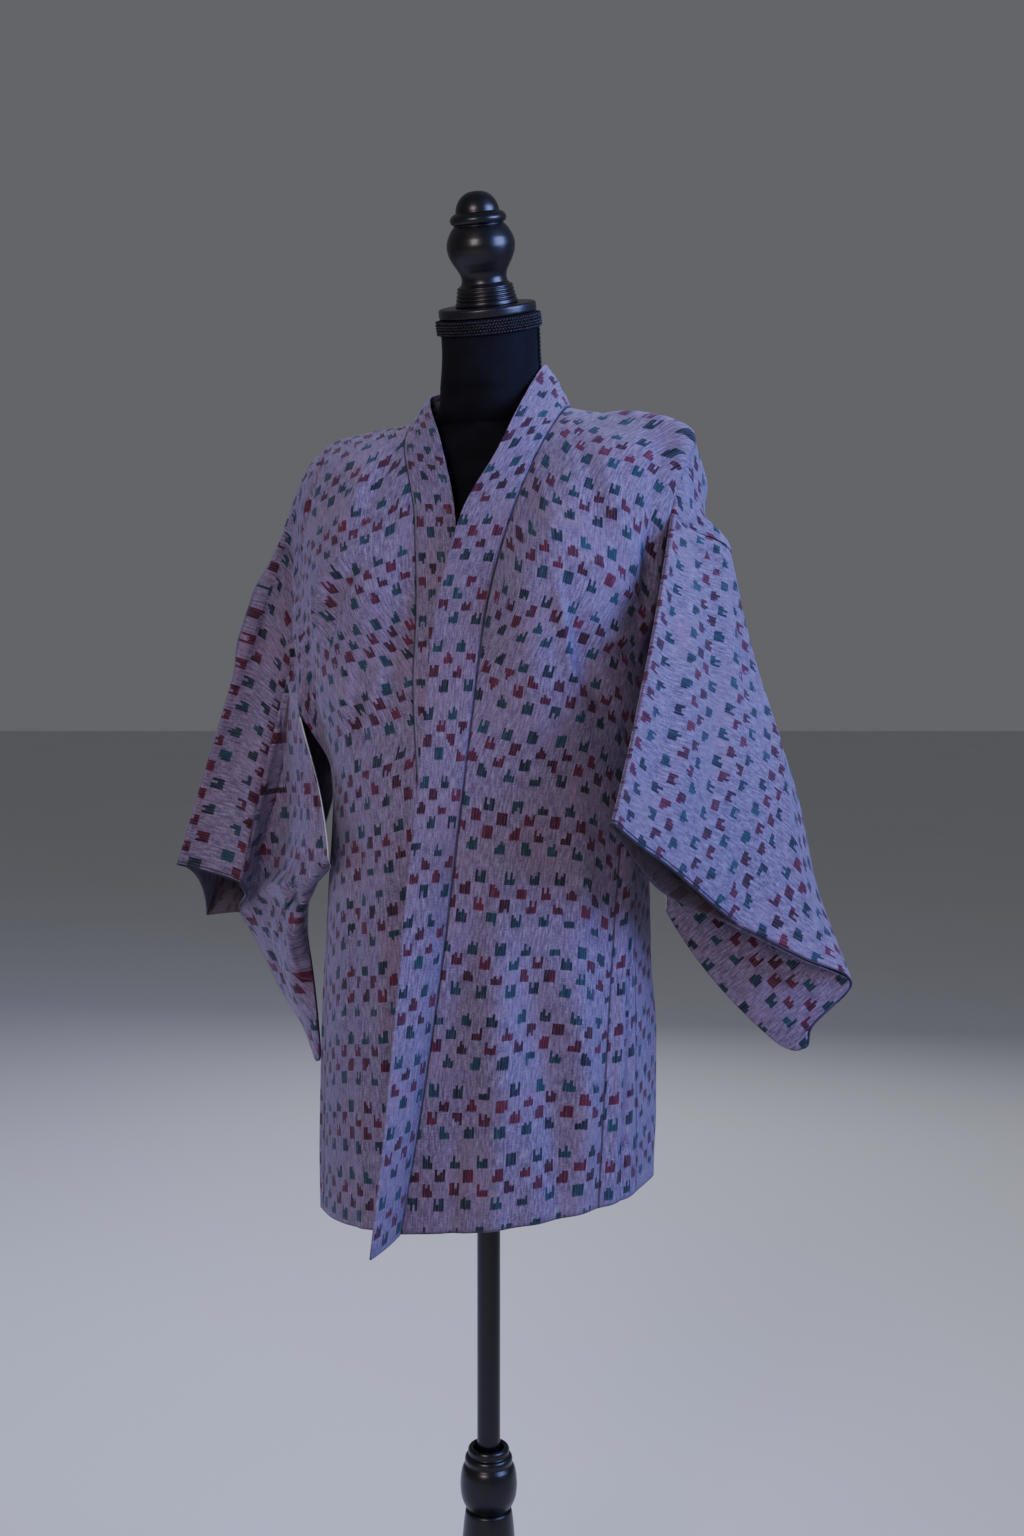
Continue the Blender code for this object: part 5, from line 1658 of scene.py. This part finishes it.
class HAORI_OT_collar_band(bpy.types.Operator):
    """Folds the long collar band double and carries it from hem to hem round the neck"""

    bl_idname = "haori.collar_band"
    bl_label = "Collar band"

    def execute(self, context):
        _, panels = jacket()
        base = band_grid(panels[1], panels[-1], sizes().fineness, 3)
        seam, free = base[:, 0], base[:, -1]
        length = lengths_along(base, 0)[:, 1]
        normal = grid_normals(base)[:, 1]
        wall = sizes().band_wall
        reach, lift, past = band_section(wall)
        out = unit(free - seam)
        near_end = np.clip((length - length[-1] + TUCK_RUN) / TUCK_RUN, 0, 1)[:, None]
        upwards = unit(base[-TUCK_ROWS, 1] - base[-1, 1])
        seam, free = (line + upwards * BAND_TUCK * near_end**2 for line in (seam, free))
        grid = (
            seam[:, None]
            + (free - seam)[:, None] * reach[None, :, None]
            + out[:, None] * past[None, :, None]
            + normal[:, None] * lift[None, :, None]
        )
        flat_across = BAND_WIDTH * reach
        coming_back = np.arange(len(reach)) >= LAYER_COLUMNS + FOLD_COLUMNS
        flat_across = np.where(coming_back, 2 * BAND_WIDTH - flat_across, flat_across)
        across = np.broadcast_to(flat_across[None], grid.shape[:2])
        along = np.broadcast_to(length[:, None], grid.shape[:2])
        cut = np.stack((across, along), axis=2)
        grid = pressed(grid, cut, deeper(FOLDS_BAND), 1.0, edge_hold(cut, BAND_EDGE_FADE))
        to_edge = np.minimum(along, along[-1:] - along)
        to_seam = np.minimum(across, 2 * BAND_WIDTH - across)
        edges = np.stack((to_edge, to_seam), axis=2)
        cut = shifted(cut, *CUT_STARTS["band"])
        piece = cloth_piece("collar_band_cloth", grid, 1.0, cut, edges, wall, band_cloth())
        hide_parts("collar_band")
        return {"FINISHED"}


def band_cloth():
    """The cloth of the folded band."""
    return once("kasuri band cloth", lambda name: kasuri(name, colours()))


def piping(name, colour):
    """Dark silk, faintly ribbed across."""
    shader = Shader(name)
    ribs = shader.noise(shader.in_space(), 900.0, 2.0)
    deep = tuple(0.6 * part for part in colour)
    return shader.finish({
        "Base Color": shader.mix(ribs * 0.5, colour, deep),
        "Roughness": 0.45 + ribs * 0.25,
        "Normal": shader.bump(ribs, 0.3, 0.0003),
    })


# ---------------- the form and its stand
class HAORI_OT_form_cover(bpy.types.Operator):
    """Makes the padded torso and neck of the dress form in its black cover"""

    bl_idname = "haori.form_cover"
    bl_label = "Form cover"

    def execute(self, context):
        around = 96
        ring_parts = 5
        neck_parts = 16
        least_rise = 0.004
        turns = round_turns(around)
        rings = [ring_points(ring, turns) for ring in TORSO_RINGS]
        rings += [neck_ring(k / neck_parts, turns) for k in range(1, neck_parts + 1)]
        rings = np.array(rings)
        gaps = np.linalg.norm(np.diff(rings.mean(axis=1), axis=0), axis=1)
        rises = np.concatenate(([0], np.cumsum(np.maximum(gaps, least_rise))))
        at = refine(rises[: len(TORSO_RINGS)], ring_parts)
        body = smooth_curve(rises, rings.reshape(len(rings), -1), at)
        points = np.concatenate((body.reshape(-1, around, 3), rings[len(TORSO_RINGS) :]))
        count = len(points)
        poles = points[[0, -1]].mean(axis=1)
        flat = np.concatenate((points.reshape(-1, 3), poles))
        faces = grid_faces(count, around, wrap=True) + pole_fans(count, around)
        shades = colours()
        cover = once("black pile", lambda name: velvet(name, shades["velvet"], shades["mottle"]))
        piece = add_mesh("form_cover", flat, faces, cover)
        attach(piece, "root")
        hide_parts("form_torso")
        return {"FINISHED"}


class HAORI_OT_neck_trim(bpy.types.Operator):
    """Ties the knotted braid round the top of the neck and lays the cord down its side seams"""

    bl_idname = "haori.neck_trim"
    bl_label = "Neck braid and cords"

    def execute(self, context):
        shades = colours()
        yarn = once("black braid", lambda name: braid(name, shades["braid"], shades["braid_light"]))
        knots = knotted_braid("neck_braid", sizes().knot_rows, yarn)
        stand_on_neck(knots, -TRIM_SINK)
        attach(knots, "root")
        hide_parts("neck_trim")
        for side, word in SIDES:
            cord = neck_cord(word + "_neck_cord", side, sizes().cord_radius, yarn)
            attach(cord, "root")
        return {"FINISHED"}


# The braid: its knots in each row, a knot's half sizes (along, as a share of the pitch; out, in
# metres; up, as a share of the row), how it leans (in radians), how far out it sits and strays,
# and the thickness and bevel of the tape behind.
KNOTS = 104
KNOT_SIZE = (0.62, 0.0019, 0.40)
KNOT_SLANT = 0.62
KNOT_SEAT = 0.0022
KNOT_STRAY = 0.0004
TAPE = 0.0016
TAPE_BEVEL = 0.0004


def knotted_braid(name, rows, material):
    """Rows of slanting eggs on a thin ring: each egg is one small ball, stretched and turned.

    Sines of whole numbers times arbitrary factors make each knot a little unlike the others.
    """
    across = 7
    down = 6
    turn = round_turns(across)
    fall = np.linspace(0, math.pi, down + 1)[1:-1]
    ball = np.stack(
        (
            np.sin(fall)[:, None] * np.cos(turn)[None],
            np.sin(fall)[:, None] * np.sin(turn)[None],
            np.broadcast_to(np.cos(fall)[:, None], (len(fall), across)),
        ),
        axis=2,
    ).reshape(-1, 3)
    ball = np.concatenate((ball, [(0, 0, 1.0), (0, 0, -1.0)]))
    quads = np.array(grid_faces(len(fall), across, wrap=True, turned=True))
    triangles = np.array(pole_fans(len(fall), across, turned=True))
    pitch = math.tau * TRIM_OUTER / KNOTS
    tall = TRIM_HEIGHT / rows
    row, step = np.meshgrid(np.arange(rows), np.arange(KNOTS), indexing="ij")
    row = row.reshape(-1)
    step = step.reshape(-1)
    place = (step + 0.5 * (row % 2)) * math.tau / KNOTS
    slant = KNOT_SLANT * np.where(row % 2 == 0, 1, -1)
    uneven = 1 + 0.10 * np.sin(step * 12.9898 + row * 78.233) * np.cos(step * 3.7)
    long, out, high = KNOT_SIZE
    stretched = ball * np.array((pitch * long, out, tall * high))
    stretched = stretched[None] * uneven[:, None, None]
    x = stretched[..., 0] * np.cos(slant)[:, None] - stretched[..., 2] * np.sin(slant)[:, None]
    z = stretched[..., 0] * np.sin(slant)[:, None] + stretched[..., 2] * np.cos(slant)[:, None]
    stray = KNOT_STRAY * np.sin(step * 5.1 + row)
    radius = TRIM_INNER + KNOT_SEAT + stretched[..., 1] + stray[:, None]
    angle = place[:, None] + x / TRIM_OUTER
    height = z - (row + 0.5)[:, None] * tall
    points = np.stack((radius * np.cos(angle), radius * np.sin(angle), height), axis=2)
    starts = np.arange(len(row))[:, None, None] * len(ball)
    all_quads = (quads[None] + starts).reshape(-1, 4).tolist()
    all_triangles = (triangles[None] + starts).reshape(-1, 3).tolist()
    around = 96
    turns = round_turns(around)
    ring = np.stack((np.cos(turns), np.sin(turns), np.zeros(around)), axis=1)
    inner, outer = TRIM_INNER, TRIM_INNER + TAPE
    foot = -TRIM_HEIGHT
    section = ((inner, 0.0), (outer, -TAPE_BEVEL), (outer, foot + TAPE_BEVEL), (inner, foot))
    tape = np.array([ring * (r, r, 0) + (0, 0, h) for r, h in section])
    tape_faces = np.array(grid_faces(len(tape) + 1, around, wrap=True, turned=True))
    tape_faces = (tape_faces % (len(tape) * around) + len(points) * len(ball)).tolist()
    everything = np.concatenate((points.reshape(-1, 3), tape.reshape(-1, 3)))
    return add_mesh(name, everything, all_quads + all_triangles + tape_faces, material)


# The neck cord: how far behind the wearer's side it runs (in degrees), its two ends as shares of
# the neck, its points, and the length of half a turn of its strands.
CORD_ANGLE = 12
CORD_SPAN = (0.97, 0.04)
CORD_POINTS = 260
CORD_TWIST = 0.0042
# As shares of the cord's radius: how far its middle stands off the pile, how far each strand's
# middle is from that, and the strand's own radius.
CORD_SHARES = (0.9, 0.5, 0.62)


def neck_cord(name, side, radius, material):
    """Two strands turning round each other down the neck's side seam, just clear of the pile."""
    seam = math.radians(CORD_ANGLE if side > 0 else 180 - CORD_ANGLE)
    shares = np.linspace(*CORD_SPAN, CORD_POINTS)
    off_pile, apart, thick = (share * radius for share in CORD_SHARES)
    line = np.array([neck_ring(share, np.array((seam,)))[0] for share in shares])
    turns = round_turns(TUBE_SIDES)
    middle = np.array([neck_ring(share, turns).mean(axis=0) for share in shares])
    outward = unit(line - middle)
    run = unit(np.gradient(line, axis=0))
    across = unit(np.cross(run, outward))
    line = line + outward * off_pile
    travelled = np.concatenate(([0], np.cumsum(np.linalg.norm(np.diff(line, axis=0), axis=1))))
    strands = []
    for half in (0.0, math.pi):
        turn = travelled / CORD_TWIST * math.pi + half
        centre = line + apart * (
            np.cos(turn)[:, None] * outward + np.sin(turn)[:, None] * across
        )
        strands.append(tube(centre, outward, across, thick))
    return add_mesh(name, *joined(strands), material)


# Turned profiles, top to bottom as (radius, height), in runs that meet at crisp corners.  Each
# run starts where the one before it ends.
FINIAL_RUNS = (
    ((0.0, 0.1152), (0.0060, 0.1146), (0.0135, 0.1114), (0.0193, 0.1049), (0.0222, 0.0975),
     (0.0226, 0.0944)),
    ((0.0252, 0.0930), (0.0280, 0.0905), (0.0293, 0.0873), (0.0286, 0.0842), (0.0262, 0.0822)),
    ((0.0256, 0.0814),),
    ((0.0290, 0.0776), (0.0319, 0.0727), (0.0344, 0.0667), (0.0355, 0.0603), (0.0344, 0.0527),
     (0.0314, 0.0453), (0.0272, 0.0379), (0.0244, 0.0324), (0.0235, 0.0277), (0.0242, 0.0230),
     (0.0270, 0.0200)),
    ((0.0288, 0.0192), (0.0292, 0.0180), (0.0284, 0.0167)),
    ((0.0296, 0.0158), (0.0300, 0.0144), (0.0290, 0.0128)),
    ((0.0303, 0.0118), (0.0307, 0.0104), (0.0297, 0.0090)),
    ((0.0311, 0.0080), (0.0315, 0.0066), (0.0305, 0.0052)),
    ((0.0320, 0.0042), (0.0325, 0.0024), (0.0325, 0.0)),
    ((0.0, 0.0),),
)
CAP_RUNS = (
    ((0.0, 0.0105), (0.0478, 0.0105)),
    ((0.0496, 0.0101), (0.0507, 0.0090), (0.0510, 0.0076)),
    ((0.0510, 0.0026),),
    ((0.0506, 0.0010), (0.0492, 0.0)),
    ((0.0, 0.0),),
)
# The floor of the hub's socket, on which the pole stands, and the bevel at the pole's ends.
SOCKET_FLOOR = 0.2860
POLE_BEVEL = 0.0008
HUB_RUNS = (
    ((0.0, SOCKET_FLOOR), (0.0150, SOCKET_FLOOR)),
    ((0.0153, 0.2980), (0.0160, 0.2998)),
    ((0.0186, 0.3012), (0.0206, 0.3000), (0.0217, 0.2968), (0.0212, 0.2930)),
    ((0.0238, 0.2914), (0.0250, 0.2880), (0.0244, 0.2838)),
    ((0.0272, 0.2794), (0.0291, 0.2712), (0.0298, 0.2612), (0.0290, 0.2516), (0.0264, 0.2434),
     (0.0232, 0.2380)),
    ((0.0222, 0.2360),),
    ((0.0, 0.2360),),
)
FOOT_RUNS = (
    ((0.0, 0.2357), (0.0236, 0.2357)),
    ((0.0242, 0.2340), (0.0278, 0.2035), (0.0330, 0.1640), (0.0420, 0.1240), (0.0570, 0.0880),
     (0.0800, 0.0600), (0.1100, 0.0420), (0.1380, 0.0330)),
    ((0.1500, 0.0296), (0.1588, 0.0248), (0.1636, 0.0190), (0.1650, 0.0120), (0.1650, 0.0040)),
    ((0.1641, 0.0010), (0.1620, 0.0)),
    ((0.0, 0.0),),
)


def black_finish(name, under, gloss, coat):
    """Black lacquer of this name over one of the lacquer colours."""
    shades = colours()
    return once(name, lambda new: lacquer(new, shades["lacquer"], shades[under], gloss, coat))


class HAORI_OT_stand(bpy.types.Operator):
    """Turns the finial, cap, pole, hub and pedestal, all in black lacquer"""

    bl_idname = "haori.stand"
    bl_label = "Finial, cap and stand"

    def execute(self, context):
        gloss = black_finish("gloss lacquer", "lacquer_warm", 0.25, 0.15)
        satin = black_finish("satin lacquer", "lacquer_warm", 0.30, 0.2)
        enamel = black_finish("pole enamel", "lacquer", 0.16, 0.1)
        finial = turned("turned_finial", soft_profile(FINIAL_RUNS, 0.0008), 112, gloss)
        stand_on_neck(finial, 2 * RUNNING_GAP + CAP_THICKNESS)
        cap = turned("neck_disc", soft_profile(CAP_RUNS, 0.0012), 128, satin)
        stand_on_neck(cap, RUNNING_GAP)
        hub = turned("pole_hub", soft_profile(HUB_RUNS, 0.0012), 96, gloss)
        foot = turned("pedestal", soft_profile(FOOT_RUNS, 0.0025), 128, gloss)
        low, high = SOCKET_FLOOR + RUNNING_GAP, TORSO_BOTTOM - RUNNING_GAP
        radius, soft = POLE_RADIUS, POLE_BEVEL
        rod = (
            ((0.0, high), (radius - soft, high)),
            ((radius, high - soft),),
            ((radius, low + soft),),
            ((radius - soft, low),),
            ((0.0, low),),
        )
        pole = turned("stand_pole", soft_profile(rod, 0.01), 64, enamel)
        pairs = (
            (finial, "finial", "black_lacquer"), (cap, "neck_cap", "black_lacquer"),
            (hub, "base_hub", "black_lacquer"), (foot, "base_foot", "black_lacquer"),
            (pole, "pole", "black_steel"),
        )
        for piece, node, slot in pairs:
            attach(piece, "root")
            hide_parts(node)
        return {"FINISHED"}


# ---------------- the studio
# Camera: where it stands and the way it looks round from straight ahead, in degrees.
CAMERA_PLACE = (0.6825, -1.687, 1.145)
CAMERA_TURN = 22.0
# The sensor's height in millimetres, then the lens and the shift as shares of that height.
SENSOR = 36.0
LENS = 1736.0 / 1536.0
SHIFT = (22.5 / 1536.0, -128.0 / 1536.0)
WORLD_COLOUR = (0.80, 0.82, 0.88, 1.0)
WORLD_STRENGTH = 0.16
# Lights: name, place, aim, side length in metres, spread in degrees, watts, whether gloss
# mirrors it, colour.
Lamp = namedtuple("Lamp", "name place aim side spread watts gloss colour")
LAMPS = (
    Lamp("cool_key", (2.15, -0.15, 1.95), (0.15, -0.05, 1.45), 1.5, 80, 27.0, True,
         (0.32, 0.42, 1.0)),
    Lamp("front_light", (0.0, -3.0, 2.1), (0.0, 0.0, 1.1), 1.0, 180, 40.0, True,
         (1.0, 0.83, 0.84)),
    Lamp("camera_fill", (1.1, -2.7, 1.25), (0.0, 0.0, 1.0), 0.8, 180, 4.5, False,
         (0.90, 0.78, 0.92)),
    Lamp("shade_fill", (1.1, -2.7, 1.25), (-0.17, -0.05, 1.02), 0.2, 12, 0.06, False,
         (0.90, 0.80, 1.0)),
    Lamp("side_light", (-2.4, -0.5, 1.6), (-0.1, 0.0, 1.0), 0.9, 180, 17.0, False,
         (0.42, 0.54, 1.0)),
    Lamp("top_light", (0.1, 0.5, 3.0), (0.0, 0.0, 1.1), 1.2, 180, 24.0, False,
         (0.80, 0.84, 1.0)),
    Lamp("back_light", (-0.6, 2.6, 2.0), (0.0, 0.0, 1.0), 1.6, 180, 26.0, False,
         (0.9, 0.92, 1.0)),
)


class HAORI_OT_studio(bpy.types.Operator):
    """Lays a pale floor and sets the lights and the camera"""

    bl_idname = "haori.studio"
    bl_label = "Studio"

    def execute(self, context):
        scene = context.scene
        half = sizes().floor_size / 2
        turn = math.radians(CAMERA_TURN)
        ahead = np.array((-math.sin(turn), math.cos(turn), 0.0)) * half
        across = np.array((math.cos(turn), math.sin(turn), 0.0)) * half
        corners = [-ahead - across, across - ahead, across + ahead, ahead - across]
        pale = once("pale floor", lambda name: floor_finish(name, colours()["floor"]))
        floor = add_mesh("studio_floor", np.array(corners), [[0, 1, 2, 3]], pale, smooth=False)
        world = bpy.data.worlds.new("studio")
        world.use_nodes = True
        background = world.node_tree.nodes["Background"]
        background.inputs["Color"].default_value = WORLD_COLOUR
        background.inputs["Strength"].default_value = WORLD_STRENGTH
        scene.world = world
        for lamp in LAMPS:
            data = bpy.data.lights.new(lamp.name, "AREA")
            data.shape = "SQUARE"
            data.size = lamp.side
            data.spread = math.radians(lamp.spread)
            data.energy = lamp.watts
            data.color = lamp.colour
            obj = bpy.data.objects.new(lamp.name, data)
            obj.visible_glossy = lamp.gloss
            scene.collection.objects.link(obj)
            aim_at(obj, lamp.place, lamp.aim)
        data = bpy.data.cameras.new("camera")
        data.sensor_fit = "VERTICAL"
        data.sensor_height = SENSOR
        data.lens = LENS * SENSOR
        data.shift_x, data.shift_y = SHIFT
        camera = bpy.data.objects.new("camera", data)
        camera.location = CAMERA_PLACE
        camera.rotation_euler = (math.pi / 2, 0.0, math.radians(CAMERA_TURN))
        scene.collection.objects.link(camera)
        scene.camera = camera
        return {"FINISHED"}


def aim_at(obj, place, aim):
    """Puts a lamp at its place, its beam along the line to its aim."""
    x, y, z = (b - a for a, b in zip(place, aim))
    obj.location = place
    obj.rotation_euler = (math.atan2(math.hypot(x, y), -z), 0.0, math.atan2(y, x) - math.pi / 2)


# ---------------- the add-on
OPERATORS = (
    HAORI_OT_body_panels,
    HAORI_OT_gussets,
    HAORI_OT_sleeves,
    HAORI_OT_collar_band,
    HAORI_OT_form_cover,
    HAORI_OT_neck_trim,
    HAORI_OT_stand,
    HAORI_OT_studio,
)


class HAORI_PT_panel(bpy.types.Panel):
    """Lists the haori's pieces with their sizes and colours"""

    bl_idname = "HAORI_PT_panel"
    bl_label = "Haori on a dress form"
    bl_space_type = "VIEW_3D"
    bl_region_type = "UI"
    bl_category = "Haori"

    def draw(self, context):
        for made in OPERATORS:
            self.layout.operator(made.bl_idname)
        for group in (context.scene.haori_sizes, context.scene.haori_colours):
            box = self.layout.box()
            for name in type(group).__annotations__:
                box.prop(group, name)


CLASSES = (HaoriSizes, HaoriColours, *OPERATORS, HAORI_PT_panel)


def register():
    for made in CLASSES:
        bpy.utils.register_class(made)
    bpy.types.Scene.haori_sizes = bpy.props.PointerProperty(type=HaoriSizes)
    bpy.types.Scene.haori_colours = bpy.props.PointerProperty(type=HaoriColours)


def unregister():
    del bpy.types.Scene.haori_colours
    del bpy.types.Scene.haori_sizes
    for made in reversed(CLASSES):
        bpy.utils.unregister_class(made)


def run(operator):
    """Calls one operator by its name, and stops the script where it didn't finish."""
    group, name = operator.bl_idname.split(".")
    if getattr(getattr(bpy.ops, group), name)() != {"FINISHED"}:
        raise RuntimeError(operator.bl_label + " wasn't made")


def main():
    register()
    for operator in OPERATORS:
        run(operator)


if __name__ == "__main__":
    main()
